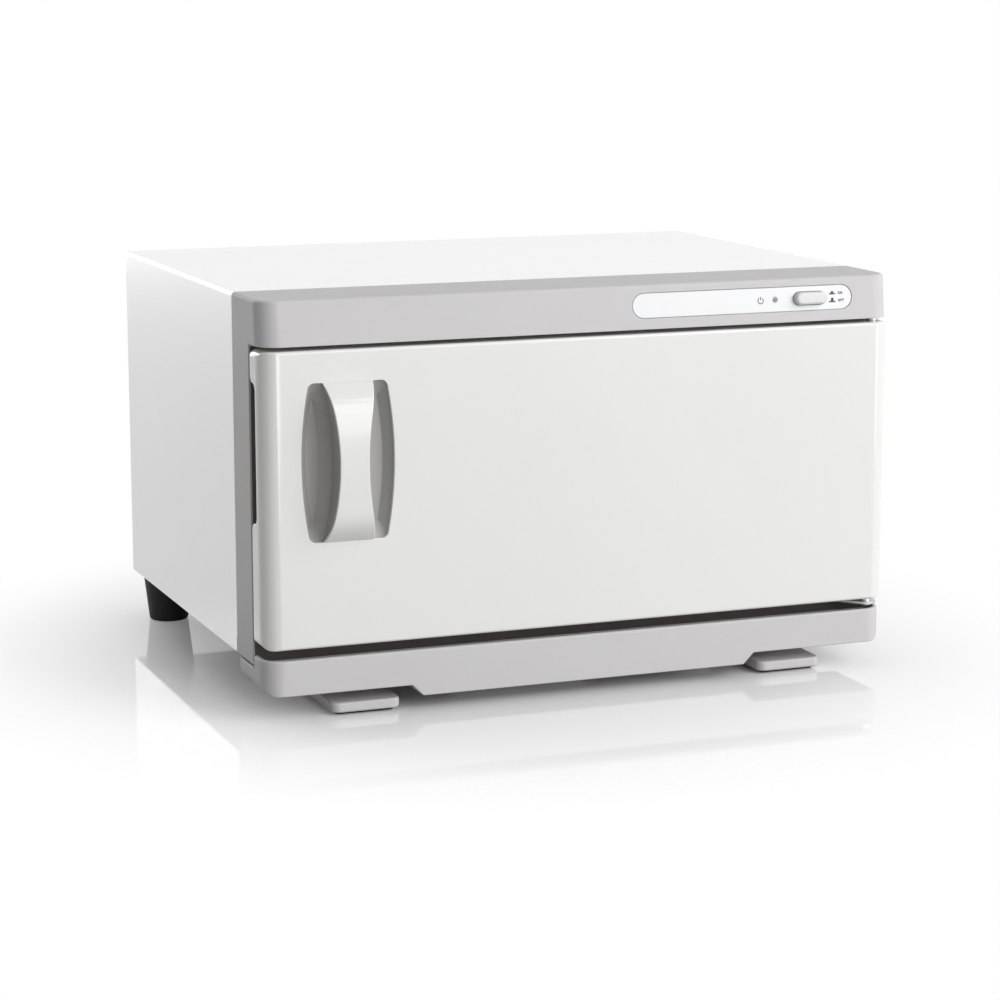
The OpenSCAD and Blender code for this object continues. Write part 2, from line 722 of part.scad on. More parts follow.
// Cap with a rounded front edge, a stop lip behind the frame's wall and a stem into the switch
module power_button() {
    r = button_h / 2;
    run = button_w - button_h;
    back = wall_t + fit;
    h = button_proud + back + stop_t;
    color(frame_grey) on_panel(button_x) {
        translate([0, back + stop_t, 0]) rotate([90, 0, 0]) {
            intersection() {
                union() {
                    for (s = [-1, 1]) translate([s * run / 2, 0, 0]) rotate_extrude() intersection() {
                        cap_profile(r, h, button_edge_r);
                        square([r, h]);
                    }
                    along_x(-run / 2, run / 2) for (s = [0, 1]) mirror([s, 0])
                        cap_profile(r, h, button_edge_r);
                }
                linear_extrude(h) stadium(button_w, button_h);
            }
            linear_extrude(stop_t)
                stadium(button_w + 2 * stop_lip + 4 * fit, button_h + 2 * stop_lip + 4 * fit);
        }
        rod_y(0, 0, stem_r, back, switch_y + switch_d - 4 - button_travel);
    }
}

// Deep-drawn box with an open front and a flange behind the frame's mouth
module chamber_liner() {
    x = chamber_x + liner_t;
    lo = chamber_lo_z - liner_t;
    hi = chamber_hi_z + liner_t;
    grow = mouth_step - liner_t + wall_t + liner_flange;
    color(aluminium) difference() {
        union() {
            box([-x, chamber_y, lo], [x, liner_back_y, hi]);
            box([-x - grow, chamber_y, lo - grow], [x + grow, chamber_y + liner_t, hi + grow]);
        }
        box([-chamber_x, chamber_y - 1, chamber_lo_z], [chamber_x, chamber_back_y, chamber_hi_z]);
    }
}

// Welded wire rack: long wires on three cross wires with bent-down legs
module wire_rack() {
    front = chamber_y + rack_margin;
    back = chamber_back_y - rack_margin;
    cross_z = chamber_lo_z + rack_h;
    long_z = cross_z + leg_r + 0.6 * wire_r;
    color("silver") {
        for (k = [0:rack_wires - 1])
            rod_y(rack_reach * (2 * k / (rack_wires - 1) - 1), long_z, wire_r, front, back);
        for (y = [front + rack_margin, (front + back) / 2, back - rack_margin]) {
            translate([-rack_leg_x, y, cross_z]) rotate([0, 90, 0]) cylinder(r = leg_r, h = 2 * rack_leg_x);
            both_sides() {
                translate([rack_leg_x, y, cross_z]) sphere(leg_r);
                translate([rack_leg_x, y, chamber_lo_z]) cylinder(r = leg_r, h = rack_h);
            }
        }
    }
}

module heater_mat() {
    x = post_x - post_r - 6;
    color("firebrick") box([-x, post_ys[0] - 10, heater_z], [x, post_ys[1] + 10, heater_z + heater_t]);
}

// Snap-disc thermostat on the chamber's back wall: can, flange and two blades
module thermostat() {
    color("black") translate([sensor_x, liner_back_y, sensor_z]) {
        rotate([-90, 0, 0]) {
            cylinder(r = 8, h = 3);
            cylinder(r = 7, h = 9);
        }
        for (s = [-1, 1]) translate([s * 4 - 0.4, 8.5, -3]) cube([0.8, 6, 6]);
        along_y(0, strap_t) stadium(30, 8);
    }
}

// Thermal fuse strapped to the chamber's back wall
module thermal_fuse() {
    color("gainsboro") translate([fuse_x, liner_back_y, sensor_z]) {
        along_y(0, strap_t) round_rect(14, 22, 2);
        translate([0, 2.6, -9]) cylinder(r = 2, h = 18);
    }
}

// Wool jacket under, over and beside the chamber, with holes for the posts
module chamber_insulation() {
    x = chamber_x + liner_t + fit;
    lo = chamber_lo_z - liner_t - heater_t - fit;
    hi = chamber_hi_z + liner_t + fit;
    color(wool_yellow) difference() {
        box([-x - insulation_t, wool_y, pan_top_z], [x + insulation_t, liner_back_y, hi + insulation_t]);
        box([-x, wool_y - 1, lo], [x, liner_back_y + 1, hi]);
        both_sides() for (y = post_ys) translate([post_x, y, pan_top_z - 1])
            cylinder(r = post_r + fit, h = lo - pan_top_z + 2);
        both_sides() translate([foot_x, foot_screw_y, pan_top_z - 1])
            cylinder(r = head_r, h = foot_screw_up + 3);
        // Room for the pan's front rim
        box([-half_w, wool_y - 1, pan_top_z - 1], [half_w, shell_y + tab_l + 2, pan_z + pan_rim_h + 2]);
    }
}

module rear_insulation() {
    color(wool_yellow) difference() {
        box([-chamber_x, liner_back_y, chamber_lo_z],
            [chamber_x, liner_back_y + insulation_t, chamber_hi_z]);
        box([sensor_x - sensor_bay, liner_back_y - 1, sensor_z - sensor_bay],
            [fuse_x + sensor_bay, liner_back_y + insulation_t + 1, sensor_z + sensor_bay]);
    }
}

module chamber_posts() {
    color("dimgray") both_sides() for (y = post_ys)
        translate([post_x, y, pan_top_z]) cylinder(r = post_r, h = chamber_lo_z - liner_t - pan_top_z);
}

// Three-way terminal strip on the base
module terminal_block() {
    d = wiring_gap - 1;
    color("ivory") translate([button_x, harness_y, pan_top_z]) difference() {
        translate([-terminal_w / 2, -d / 2, 0]) cube([terminal_w, d, terminal_h]);
        for (s = [-1, 1]) translate([s * terminal_w / 3, 0, terminal_h / 2])
            cylinder(r = terminal_r, h = terminal_h);
    }
}

// Sleeved leads from the terminal strip up behind the chamber and forward to the switch
module wiring_harness() {
    end_y = plate_y + (switch_y + switch_d) * cos(lean_a) + fit + harness_r * sin(lean_a);
    color("whitesmoke") {
        translate([button_x, harness_y, pan_top_z + terminal_h])
            cylinder(r = harness_r, h = harness_z - pan_top_z - terminal_h);
        translate([button_x, harness_y, harness_z]) sphere(harness_r);
        rod_y(button_x, harness_z, harness_r, end_y, harness_y);
    }
}

// Pin pressed into the top bar's boss, with a shoulder above the door
module upper_hinge_pin() {
    color(bare_steel) translate([hinge_x, hinge_y, 0]) {
        translate([0, 0, door_hi_z - pin_l]) cylinder(r = pin_r, h = pin_top_z - door_hi_z + pin_l);
        translate([0, 0, door_hi_z + fit]) cylinder(r = shoulder_r, h = gap_over_door - fit);
    }
}

// Angle plate: an upright leaf let into the frame and a tongue under the door with a rounded end
// Leaf held behind the dark surround, with a tongue that comes out through it
module lower_hinge_plate() {
    back = leaf_back_y;
    color(bare_steel) difference() {
        union() {
            box([leaf_x, back - leaf_t, leaf_lo_z], [leaf_x + leaf_w, back, leaf_lo_z + leaf_h]);
            along_z(leaf_lo_z, leaf_z) {
                polygon([[leaf_x + 2, back], [hinge_x - nose_r * 0.6, hinge_y - nose_r * 0.8],
                    [hinge_x + nose_r, hinge_y], [hinge_x + nose_r, frame_y - 4],
                    [leaf_x + leaf_w, frame_y], [leaf_x + leaf_w, back]]);
                translate([hinge_x, hinge_y]) circle(nose_r);
            }
        }
        translate([hinge_x, hinge_y, leaf_lo_z - 1]) cylinder(r = pin_r + pin_fit, h = leaf_t + 2);
        for (z = leaf_screw_zs) rod_y(leaf_screw_x, z, screw_r + fit, frame_y - 1, back + 1);
    }
}

module lower_hinge_pin() {
    color(bare_steel) translate([hinge_x, hinge_y, 0]) {
        translate([0, 0, leaf_lo_z - rivet_h])
            cylinder(r = pin_r, h = door_lo_z + pin_l - leaf_lo_z + rivet_h);
        translate([0, 0, leaf_z]) cylinder(r = shoulder_r, h = door_lo_z - fit - leaf_z);
        translate([0, 0, leaf_lo_z - rivet_h]) cylinder(r = shoulder_r, h = rivet_h);
    }
}

// Magnet in a plastic case, its face just proud of the jamb
module magnet_catch() {
    color("dimgray") translate([catch_x, frame_y + catch_size[1] / 2 - catch_proud, catch_z])
        cube(catch_size, center = true);
}

// Door form: plan, front and side outlines crossed, drawn in by the skin for the inside
module door_form(inset, back) {
    h = door_h - 2 * inset;
    edge = max(door_edge_r - inset, 0.4);
    front = face_y + inset;
    intersection() {
        along_z(door_lo_z + inset, door_hi_z - inset) translate([0, front])
            round_front(shell_w - 2 * inset, back - front, door_r - inset);
        along_y(front, back) translate([0, door_mid_z])
            round_rect(shell_w - 2 * inset, h, door_corner_r - inset);
        along_x(-half_w, half_w) translate([front, door_mid_z]) rotate(-90)
            round_front(h, back - front, edge);
    }
}

// Half-widths of the grip and reach of a pocket's outer edge at height v from the middle
function grip_u(v) = grip_w / 2 + (grip_end_w - grip_w) / 2 * pow(v / pocket_v, 2);
function pocket_u(v) = pocket_reach - (pocket_reach - pocket_end_reach) * pow(v / pocket_v, 2);
// Part of a pocket's end radius lost at height v, zero short of its rounded ends
function end_cut(v) =
    let (t = max(0, (abs(v) - pocket_v + pocket_end_r) / pocket_end_r))
    pocket_end_r * (1 - sqrt(max(0, 1 - t * t)));
function reversed(list) = [for (k = [len(list) - 1:-1:0]) list[k]];
function mirrored(list) = [for (p = list) [-p[0], p[1]]];

// Heights with closer points towards the ends
pocket_vs = [for (k = [-16:16]) pocket_v * sin(k * 90 / 16)];
pocket_inner = [for (v = pocket_vs) [grip_u(v) + end_cut(v), v]];
pocket_outer = [for (v = pocket_vs) [pocket_u(v) - end_cut(v), v]];
pocket_rim = concat(pocket_inner, reversed(pocket_outer));
// The skin's opening runs from one pocket's outer edge to the other's
handle_hole = concat(pocket_outer, reversed(mirrored(pocket_outer)));
// Pointed lens of a pocket's floor, about its own middle
floor_in_u = grip_w / 2 + grip_draft;
floor_out_u = pocket_reach - pocket_draft;
floor_u = (floor_out_u - floor_in_u) / 2;
floor_v = pocket_v - pocket_end_draft;
floor_side = [for (k = [-16:15]) [floor_u * (1 - pow(k / 16, 2)), floor_v * k / 16]];
pocket_floor = concat(floor_side, -floor_side);

module at_grip() { translate([grip_x, 0, grip_z]) children(); }

// Front view of the grip, with roots that reach into the skin
module grip_outline() {
    n = 24;
    vs = [for (k = [-n:n]) (bow_v + skin_t) * k / n];
    polygon(concat([for (v = vs) [-grip_u(v), v]], [for (k = [2 * n:-1:0]) [grip_u(vs[k]), vs[k]]]));
}

// Side view of all that lies behind the bow: a shallow crown arc that turns down through two tighter arcs
module under_bow(inset) {
    front = face_y - grip_bow;
    depth = grip_bow + skin_t + 1;
    reach = (crown_r - inset) * sin(crown_a);
    intersection() {
        translate([front + crown_r, 0]) circle(crown_r - inset);
        translate([front, -reach]) square([depth, 2 * reach]);
    }
    for (s = [0, 1]) mirror([0, s]) intersection() {
        translate([face_y - crown_end + bow_end_r * cos(crown_a), crown_v - bow_end_r * sin(crown_a)])
            circle(bow_end_r - inset);
        translate([front, reach]) square([depth, bow_v + skin_t - reach]);
    }
}

module finger_notch(depth, grow) {
    h = notch_h + 2 * grow;
    translate([-depth, -grow + notch_r]) square([depth + 1, h - 2 * notch_r]);
    translate([notch_r - depth, -grow]) square([depth + 1 - notch_r, h]);
    for (z = [notch_r, h - notch_r]) translate([notch_r - depth, z - grow]) circle(notch_r);
}

// Moulded door skin with the two pockets cut out and the bowed grip between them
module door_shell() {
    color(door_white) {
        difference() {
            union() {
                difference() {
                    door_form(0, door_back_y);
                    door_form(skin_t, door_back_y + 1);
                }
                // Bosses for the bushes and for the screws of the inner panel
                translate([hinge_x, hinge_y, door_lo_z + skin_t / 2])
                    cylinder(r = boss_r, h = pin_l + skin_t);
                translate([hinge_x, hinge_y, door_hi_z - pin_l - skin_t * 1.5])
                    cylinder(r = boss_r, h = pin_l + skin_t);
                for (p = door_screw_spots)
                    rod_y(p[0], p[1], screw_r + boss_wall, face_y + skin_t / 2, door_back_y - panel_t);
            }
            at_grip() along_y(face_y - 1, face_y + skin_t + 1) polygon(handle_hole);
            // Finger notch, with its mouth eased by two outward curves
            along_x(-half_w - 1, -half_w + skin_t + 1) translate([door_back_y, notch_lo_z]) {
                finger_notch(notch_d, 0);
                for (s = [0, 1]) translate([0, s * notch_h]) mirror([0, s]) difference() {
                    translate([-notch_r, -notch_r]) square([notch_r + 1, notch_r + 1]);
                    translate([-notch_r, -notch_r]) circle(notch_r);
                }
            }
            box([half_w - door_r, edge_back_y, door_lo_z - 1],
                [half_w + 1, door_back_y + 1, door_hi_z + 1]);
            translate([hinge_x, hinge_y, door_lo_z - 1]) cylinder(r = bush_r + pin_fit, h = pin_l + 1);
            translate([hinge_x, hinge_y, door_hi_z - pin_l]) cylinder(r = bush_r + pin_fit, h = pin_l + 1);
            for (p = door_screw_spots)
                rod_y(p[0], p[1], screw_r + pin_fit, door_back_y - panel_t - screw_l, door_back_y);
        }
        at_grip() intersection() {
            along_x(-grip_end_w, grip_end_w) difference() {
                under_bow(0);
                under_bow(skin_t);
            }
            along_y(face_y - grip_bow - 1, face_y + skin_t) grip_outline();
        }
    }
}

// One pocket: the rim drawn in to a pointed lens on the floor
module pocket_space() {
    hull() {
        along_y(face_y, face_y + skin_t) polygon(pocket_rim);
        along_y(face_y + pocket_depth - 0.1, face_y + pocket_depth)
            translate([(floor_in_u + floor_out_u) / 2, 0]) polygon(pocket_floor);
    }
}

// Grey insert behind the door's skin: two pockets with a core that fills the bowed grip
module handle_cup() {
    core_v = pocket_v - fit;
    color(cup_grey) at_grip() {
        difference() {
            along_y(face_y + skin_t, face_y + pocket_depth + cup_t)
                round_rect(2 * (pocket_reach + cup_t), pocket_h + 2 * cup_t, 6);
            for (s = [0, 1]) mirror([s, 0, 0]) pocket_space();
        }
        intersection() {
            along_x(-grip_end_w, grip_end_w) under_bow(skin_t + fit);
            along_y(face_y - grip_bow, face_y + skin_t + 1) intersection() {
                grip_outline();
                square([grip_end_w + 4, 2 * core_v], center = true);
            }
        }
    }
}

// Inner panel with a raised field and a moulded recess behind the finger notch
module door_liner() {
    x = min(half_w - skin_t - fit, hinge_x + swing_back_x - fit);
    lo = door_lo_z + skin_t + fit;
    hi = door_hi_z - skin_t - fit;
    field_x = mouth_x - field_inset;
    field_lo = mouth_lo_z + field_inset;
    field_hi = mouth_hi_z - field_inset;
    color(door_white) difference() {
        union() {
            along_y(door_back_y - panel_t, door_back_y) translate([0, (lo + hi) / 2])
                round_rect(2 * x, hi - lo, door_corner_r - skin_t);
            along_y(door_back_y - panel_t, door_back_y + field_h) translate([0, (field_lo + field_hi) / 2])
                round_rect(2 * field_x, field_hi - field_lo, 8);
            along_x(-x, notch_reach + panel_t - half_w) intersection() {
                translate([door_back_y, notch_lo_z]) finger_notch(notch_d + panel_t, panel_t);
                translate([door_back_y - 30, notch_lo_z - 20]) square([30, notch_h + 40]);
            }
        }
        along_y(door_back_y - panel_t - 1, door_back_y + field_h - panel_t)
            translate([0, (field_lo + field_hi) / 2])
            round_rect(2 * (field_x - panel_t), field_hi - field_lo - 2 * panel_t, 6);
        along_x(-half_w, notch_reach - half_w) translate([door_back_y, notch_lo_z])
            finger_notch(notch_d, 0);
        for (p = door_screw_spots)
            rod_y(p[0], p[1], screw_r + fit, door_back_y - panel_t - 1, door_back_y + 1);
    }
}

// Foam slab between the skin and the inner panel
module door_insulation() {
    color(wool_yellow) difference() {
        box([-mouth_x, face_y + skin_t, door_lo_z + 2 * skin_t],
            [mouth_x, door_back_y - panel_t, door_hi_z - 2 * skin_t]);
        at_grip() along_y(face_y, face_y + pocket_depth + cup_t + fit)
            round_rect(2 * (pocket_reach + cup_t + fit), pocket_h + 2 * (cup_t + fit), 6);
        for (p = door_screw_spots) rod_y(p[0], p[1], screw_r + boss_wall + fit, face_y, door_back_y);
    }
}

module door_gasket() {
    grow = gasket_inset + gasket_w;
    mid = (mouth_lo_z + mouth_hi_z) / 2;
    h = mouth_hi_z - mouth_lo_z;
    color(silicone) along_y(door_back_y, frame_y - fit) translate([0, mid]) difference() {
        round_rect(2 * (mouth_x + grow), h + 2 * grow, 4);
        round_rect(2 * (mouth_x + gasket_inset), h + 2 * gasket_inset, 2);
    }
}

module strike_plate() {
    color(bare_steel) along_y(door_back_y, door_back_y + strike_t) translate([catch_x, catch_z])
        round_rect(catch_size[0], catch_size[2], 1.5);
}

module hinge_bushes() {
    color("ivory") for (z = [door_lo_z, door_hi_z - pin_l]) translate([hinge_x, hinge_y, z]) difference() {
        cylinder(r = bush_r, h = pin_l);
        translate([0, 0, -1]) cylinder(r = pin_r + pin_fit, h = pin_l + 2);
    }
}

// Front view of the tray: shallow ends with round lower corners and a deep middle between slanted steps
module tray_outline(inset, top) {
    w = half_w - inset;
    r = tray_end_r - inset;
    lo = tray_end_z + inset;
    mid_w = tray_mid_w / 2 - inset * tan(22.5);
    polygon([[-w, top], [-w, lo + r], [r - w, lo], [-mid_w - tray_step, lo], [-mid_w, lo - tray_step],
        [mid_w, lo - tray_step], [mid_w + tray_step, lo], [w - r, lo], [w, lo + r], [w, top]]);
    for (s = [-1, 1]) translate([s * (w - r), lo + r]) circle(r);
}

module drip_tray() {
    color(frame_grey) {
        difference() {
            intersection() {
                along_y(bar_y, tray_back_y) tray_outline(0, tray_top_z);
                along_z(0, top_z) translate([0, bar_y]) round_front(shell_w, bar_d, bar_r);
                under_edge(bar_y, tray_top_z, tray_edge_r, bar_r);
            }
            intersection() {
                along_y(bar_y, tray_back_y - tray_t) tray_outline(tray_t, tray_top_z + 1);
                along_z(0, top_z) translate([0, bar_y + tray_t])
                    round_front(shell_w - 2 * tray_t, bar_d, bar_r - tray_t);
            }
            box([-shell_w, tray_cut_y, tray_low_z], [shell_w, shell_y, top_z]);
        }
        both_sides() translate([tongue_x - tongue_w / 2, tray_back_y - tray_t / 2, tongue_z])
            cube([tongue_w, tongue_l, tongue_t]);
    }
}

// Guides under the base that carry the tray's tongues
module tray_guides() {
    slot_w = tongue_w + 2 * fit;
    back = tray_back_y + tongue_l;
    color("dimgray") both_sides() difference() {
        translate([tongue_x - slot_w / 2 - guide_t, guide_y, tongue_z - fit - guide_t])
            cube([slot_w + 2 * guide_t, back - guide_y, pan_z - tongue_z + fit + guide_t]);
        translate([tongue_x - slot_w / 2, guide_y - 1, tongue_z - fit])
            cube([slot_w, back - guide_y + 2, tongue_t + 2 * fit]);
    }
}

// Slab that reaches forward under the tray from a column behind it
module front_foot() {
    l = foot_back_y - foot_front_y;
    color(frame_grey) difference() {
        union() {
            along_z(pad_t, slab_z) translate([foot_x, (foot_front_y + foot_back_y) / 2])
                round_rect(foot_w, l, foot_r);
            along_z(slab_z - 1, pan_z) translate([foot_x, foot_screw_y])
                round_rect(foot_w - 8, column_d, foot_r - 2);
        }
        translate([foot_x, foot_screw_y, 0]) {
            cylinder(r = head_r + 1.5, h = column_well_z);
            cylinder(r = screw_r + fit, h = pan_z + 1);
        }
    }
}

module front_foot_right() { front_foot(); }
module front_foot_left() { mirror([1, 0, 0]) front_foot(); }

module front_foot_pads() {
    back = foot_screw_y - head_r - 3;
    color(black_rubber) both_sides() along_z(0, pad_t)
        translate([foot_x, (foot_front_y + pad_inset + back) / 2])
        round_rect(foot_w - 2 * pad_inset, back - foot_front_y - pad_inset, foot_r - 2);
}

// Tapered rubber foot with a well for its screw
module rear_foot() {
    edge = 1.5;
    color(black_rubber) translate([rear_foot_x, rear_foot_y, 0]) rotate_extrude() difference() {
        union() {
            polygon([[0, 0], [rear_foot_base_r - edge, 0], [rear_foot_base_r, edge],
                [rear_foot_r, pan_z], [0, pan_z]]);
            translate([rear_foot_base_r - edge, edge]) circle(edge);
        }
        square([head_r + 1.5, rear_well_z]);
        square([screw_r + fit, pan_z + 1]);
    }
}

module rear_foot_right() { rear_foot(); }
module rear_foot_left() { mirror([1, 0, 0]) rear_foot(); }

module back_screws() {
    color("silver") for (p = back_screw_spots) translate([p[0], rear_y, p[1]]) rotate([90, 0, 0]) screw();
}

module base_screws() {
    color("silver") both_sides() for (y = base_screw_ys) translate([flange_mid, y, base_z]) screw();
}

module hinge_screws() {
    color("silver") for (z = leaf_screw_zs)
        translate([leaf_screw_x, frame_y, z]) rotate([-90, 0, 0]) screw(h = low_head_h);
}

module door_screws() {
    color("silver") for (p = door_screw_spots) translate([p[0], door_back_y, p[1]]) rotate([90, 0, 0])
        screw(h = low_head_h);
}

module foot_screws() {
    color("silver") both_sides() {
        translate([rear_foot_x, rear_foot_y, rear_well_z]) screw(pan_top_z + foot_screw_up - rear_well_z);
        translate([foot_x, foot_screw_y, column_well_z]) screw(pan_top_z + foot_screw_up - column_well_z);
    }
}

outer_shell();
base_pan();
back_panel();
cord_gland();
front_frame();
mouth_surround();
control_plate();
power_lamp();
lamp_board();
push_switch();
power_button();
chamber_liner();
wire_rack();
heater_mat();
thermostat();
thermal_fuse();
chamber_insulation();
rear_insulation();
chamber_posts();
terminal_block();
wiring_harness();
upper_hinge_pin();
lower_hinge_plate();
lower_hinge_pin();
magnet_catch();
door_shell();
handle_cup();
door_liner();
door_insulation();
door_gasket();
strike_plate();
hinge_bushes();
drip_tray();
tray_guides();
front_foot_left();
front_foot_right();
front_foot_pads();
rear_foot_left();
rear_foot_right();
back_screws();
base_screws();
hinge_screws();
door_screws();
foot_screws();
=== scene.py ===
"""Looks of a countertop towel warmer: moulded grey frame and tray, glossy off-white door with a bowed grip,
white powder-coated cabinet, and the bright chamber, rack and seal that show when the door is open.
Blender works in metres; places on the part are worked out in millimetres. +Z is up, the door faces -Y."""

import json
import math

import bmesh
import bpy
import numpy as np
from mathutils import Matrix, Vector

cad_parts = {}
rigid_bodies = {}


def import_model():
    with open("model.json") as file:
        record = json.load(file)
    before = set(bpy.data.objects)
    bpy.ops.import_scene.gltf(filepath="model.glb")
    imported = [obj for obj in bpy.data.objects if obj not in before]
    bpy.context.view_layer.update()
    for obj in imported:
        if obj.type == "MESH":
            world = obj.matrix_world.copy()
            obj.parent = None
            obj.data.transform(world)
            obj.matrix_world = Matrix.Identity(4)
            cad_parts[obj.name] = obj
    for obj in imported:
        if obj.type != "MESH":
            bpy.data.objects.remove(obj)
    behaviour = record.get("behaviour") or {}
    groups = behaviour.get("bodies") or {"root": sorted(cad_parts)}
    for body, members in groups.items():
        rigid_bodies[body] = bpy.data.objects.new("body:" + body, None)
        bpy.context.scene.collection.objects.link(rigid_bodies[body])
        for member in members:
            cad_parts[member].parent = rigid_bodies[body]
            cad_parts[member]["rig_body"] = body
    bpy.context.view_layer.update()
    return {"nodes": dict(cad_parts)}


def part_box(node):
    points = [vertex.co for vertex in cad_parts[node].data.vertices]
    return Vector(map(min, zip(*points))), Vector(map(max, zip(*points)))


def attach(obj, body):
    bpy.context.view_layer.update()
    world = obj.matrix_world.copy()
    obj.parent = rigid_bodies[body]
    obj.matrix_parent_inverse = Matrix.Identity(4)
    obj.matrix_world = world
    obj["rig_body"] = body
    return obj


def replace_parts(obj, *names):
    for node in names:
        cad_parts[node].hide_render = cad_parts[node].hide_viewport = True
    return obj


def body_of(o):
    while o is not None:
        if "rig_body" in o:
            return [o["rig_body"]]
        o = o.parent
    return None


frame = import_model()
MM = 0.001


# Shader sums and finishes


class Value:
    """A shader socket that takes part in sums: each operator adds one Math node to its tree."""

    def __init__(self, nodes, socket):
        self.nodes = nodes
        self.socket = socket

    def _math(self, operation, first, second):
        return self.nodes.node("ShaderNodeMath", {"operation": operation}, {0: first, 1: second})

    def __add__(self, other):
        return self._math("ADD", self, other)

    def __sub__(self, other):
        return self._math("SUBTRACT", self, other)

    def __rsub__(self, other):
        return self._math("SUBTRACT", other, self)

    def __mul__(self, other):
        return self._math("MULTIPLY", self, other)

    __radd__ = __add__
    __rmul__ = __mul__

    def step(self, low, high):
        """Smooth step from 0 at low to 1 at high."""
        return self.nodes.node(
            "ShaderNodeMapRange",
            {"interpolation_type": "SMOOTHSTEP"},
            {"Value": self, "From Min": low, "From Max": high},
        )


class Nodes:
    """A node tree filled by calls that each add one node and give one of its outputs."""

    def __init__(self, tree):
        self.tree = tree

    def put(self, socket, value):
        """Links a value to a socket, or sets a plain number or colour on it."""
        if isinstance(value, Value):
            self.tree.links.new(value.socket, socket)
        else:
            socket.default_value = value

    def node(self, kind, settings, inputs, out=0):
        """Adds a node: its settings first, then its input sockets by name or number; gives one output."""
        made = self.tree.nodes.new(kind)
        for key, value in settings.items():
            setattr(made, key, value)
        for key, value in inputs.items():
            self.put(made.inputs[key], value)
        return Value(self, made.outputs[out])

    def ray(self, kind):
        """1 for rays of that kind, such as those to the camera, and 0 for the rest."""
        return self.node("ShaderNodeLightPath", {}, {}, f"Is {kind} Ray")


class Finish(Nodes):
    """One material: a Principled shader with even values on its own sockets and worked-out values linked
    in."""

    def __init__(self, name, color, roughness, **even):
        self.material = bpy.data.materials.new(name)
        self.material.use_nodes = True
        self.material.diffuse_color = (*color, 1.0)
        super().__init__(self.material.node_tree)
        self.shader = self.tree.nodes["Principled BSDF"]
        self.shader.inputs["Base Color"].default_value = (*color, 1.0)
        self.shader.inputs["Roughness"].default_value = roughness
        for socket, value in even.items():
            self.shader.inputs[socket.replace("_", " ")].default_value = value
        self.where = self.node("ShaderNodeTexCoord", {}, {}, "Object")

    def stretched(self, scale, turn=(0.0, 0.0, 0.0)):
        """The piece's own coordinates, in metres, turned and then scaled along its axes."""
        return self.node("ShaderNodeMapping", {}, {"Vector": self.where, "Scale": scale, "Rotation": turn})

    def cloud(self, size, detail=3.0, rough=0.55, where=None):
        """Soft noise from 0 to 1 whose lumps are about size metres wide."""
        return self.node(
            "ShaderNodeTexNoise",
            {},
            {"Vector": where or self.where, "Scale": 1.0 / size, "Detail": detail, "Roughness": rough},
        )

    def tint(self, amount, low, high):
        """Base colour that runs from low to high as amount goes from 0 to 1."""
        ends = {"Factor": amount, 6: (*low, 1.0), 7: (*high, 1.0)}
        mixed = self.node("ShaderNodeMix", {"data_type": "RGBA"}, ends, 2)
        self.put(self.shader.inputs["Base Color"], mixed)
        return self

    def gloss(self, value):
        """Roughness that changes over the surface."""
        self.put(self.shader.inputs["Roughness"], value)
        return self

    def relief(self, height, depth):
        """Bump of that depth in metres from a height between 0 and 1."""
        bump = self.node("ShaderNodeBump", {}, {"Height": height, "Distance": depth, "Strength": 1.0})
        self.put(self.shader.inputs["Normal"], bump)
        return self


# Palest tone that a finish may have
PALEST = 0.96


def shades(color, spread):
    """A darker and a lighter tone of one colour, a share apart from it."""
    return [tuple(min(PALEST, c * factor) for c in color) for factor in (1 - spread, 1 + spread)]


def powder_coat():
    """White baked powder: a fine orange peel under a clear gloss, with a faint drift of tone."""
    white = (0.92, 0.92, 0.923)
    finish = Finish("powder_coat", white, 0.3, Coat_Weight=0.9, Coat_Roughness=0.25)
    finish.tint(finish.cloud(0.09, detail=2.0), *shades(white, 0.013))
    finish.gloss(0.28 + 0.1 * finish.cloud(0.012))
    return finish.relief(finish.cloud(0.0016, detail=2.0, rough=0.4), depth=0.00003)


def moulded_grey():
    """Light-grey moulding: spark-eroded grain, slow flow marks along X and a slightly uneven sheen."""
    grey = (0.56, 0.55, 0.555)
    finish = Finish("moulded_grey", grey, 0.5, Specular_IOR_Level=0.08)
    flow = finish.cloud(0.06, detail=3.0, rough=0.5, where=finish.stretched((1.0, 2.4, 2.4)))
    finish.tint(flow, *shades(grey, 0.026))
    finish.gloss(0.43 + 0.14 * finish.cloud(0.02))
    return finish.relief(finish.cloud(0.0007, detail=4.0, rough=0.6), depth=0.000018)


def door_gloss():
    """Glossy off-white moulding with a warm cast and very long, shallow waves in its reflections."""
    cream = (0.72, 0.722, 0.70)
    finish = Finish("door_gloss", cream, 0.16, Coat_Weight=0.3, Coat_Roughness=0.06)
    finish.tint(finish.cloud(0.11, detail=2.0), *shades(cream, 0.02))
    finish.gloss(0.14 + 0.07 * finish.cloud(0.03))
    return finish.relief(finish.cloud(0.03, detail=1.0, rough=0.3), depth=0.00008)


def cup_grain():
    """Mid-grey matt moulding with a leather-fine grain."""
    grey = (0.38, 0.37, 0.366)
    finish = Finish("cup_grain", grey, 0.5, Specular_IOR_Level=0.35)
    finish.tint(finish.cloud(0.02), *shades(grey, 0.07))
    finish.gloss(0.42 + 0.16 * finish.cloud(0.004))
    return finish.relief(finish.cloud(0.0006, detail=4.0, rough=0.6), depth=0.00003)


def painted_shade_surround():
    """Painted shade: a dark taupe moulding behind the door whose colour stands in for the shade in the gaps
    round the door; matt, with a fine grain and a little dust in it.
    """
    shade_taupe = (0.098, 0.084, 0.078)
    finish = Finish("painted_shade_surround", shade_taupe, 0.6, Specular_IOR_Level=0.3)
    finish.tint(finish.cloud(0.015, detail=4.0), *shades(shade_taupe, 0.2))
    finish.gloss(0.52 + 0.16 * finish.cloud(0.005))
    return finish.relief(finish.cloud(0.0007, detail=3.0), depth=0.000025)


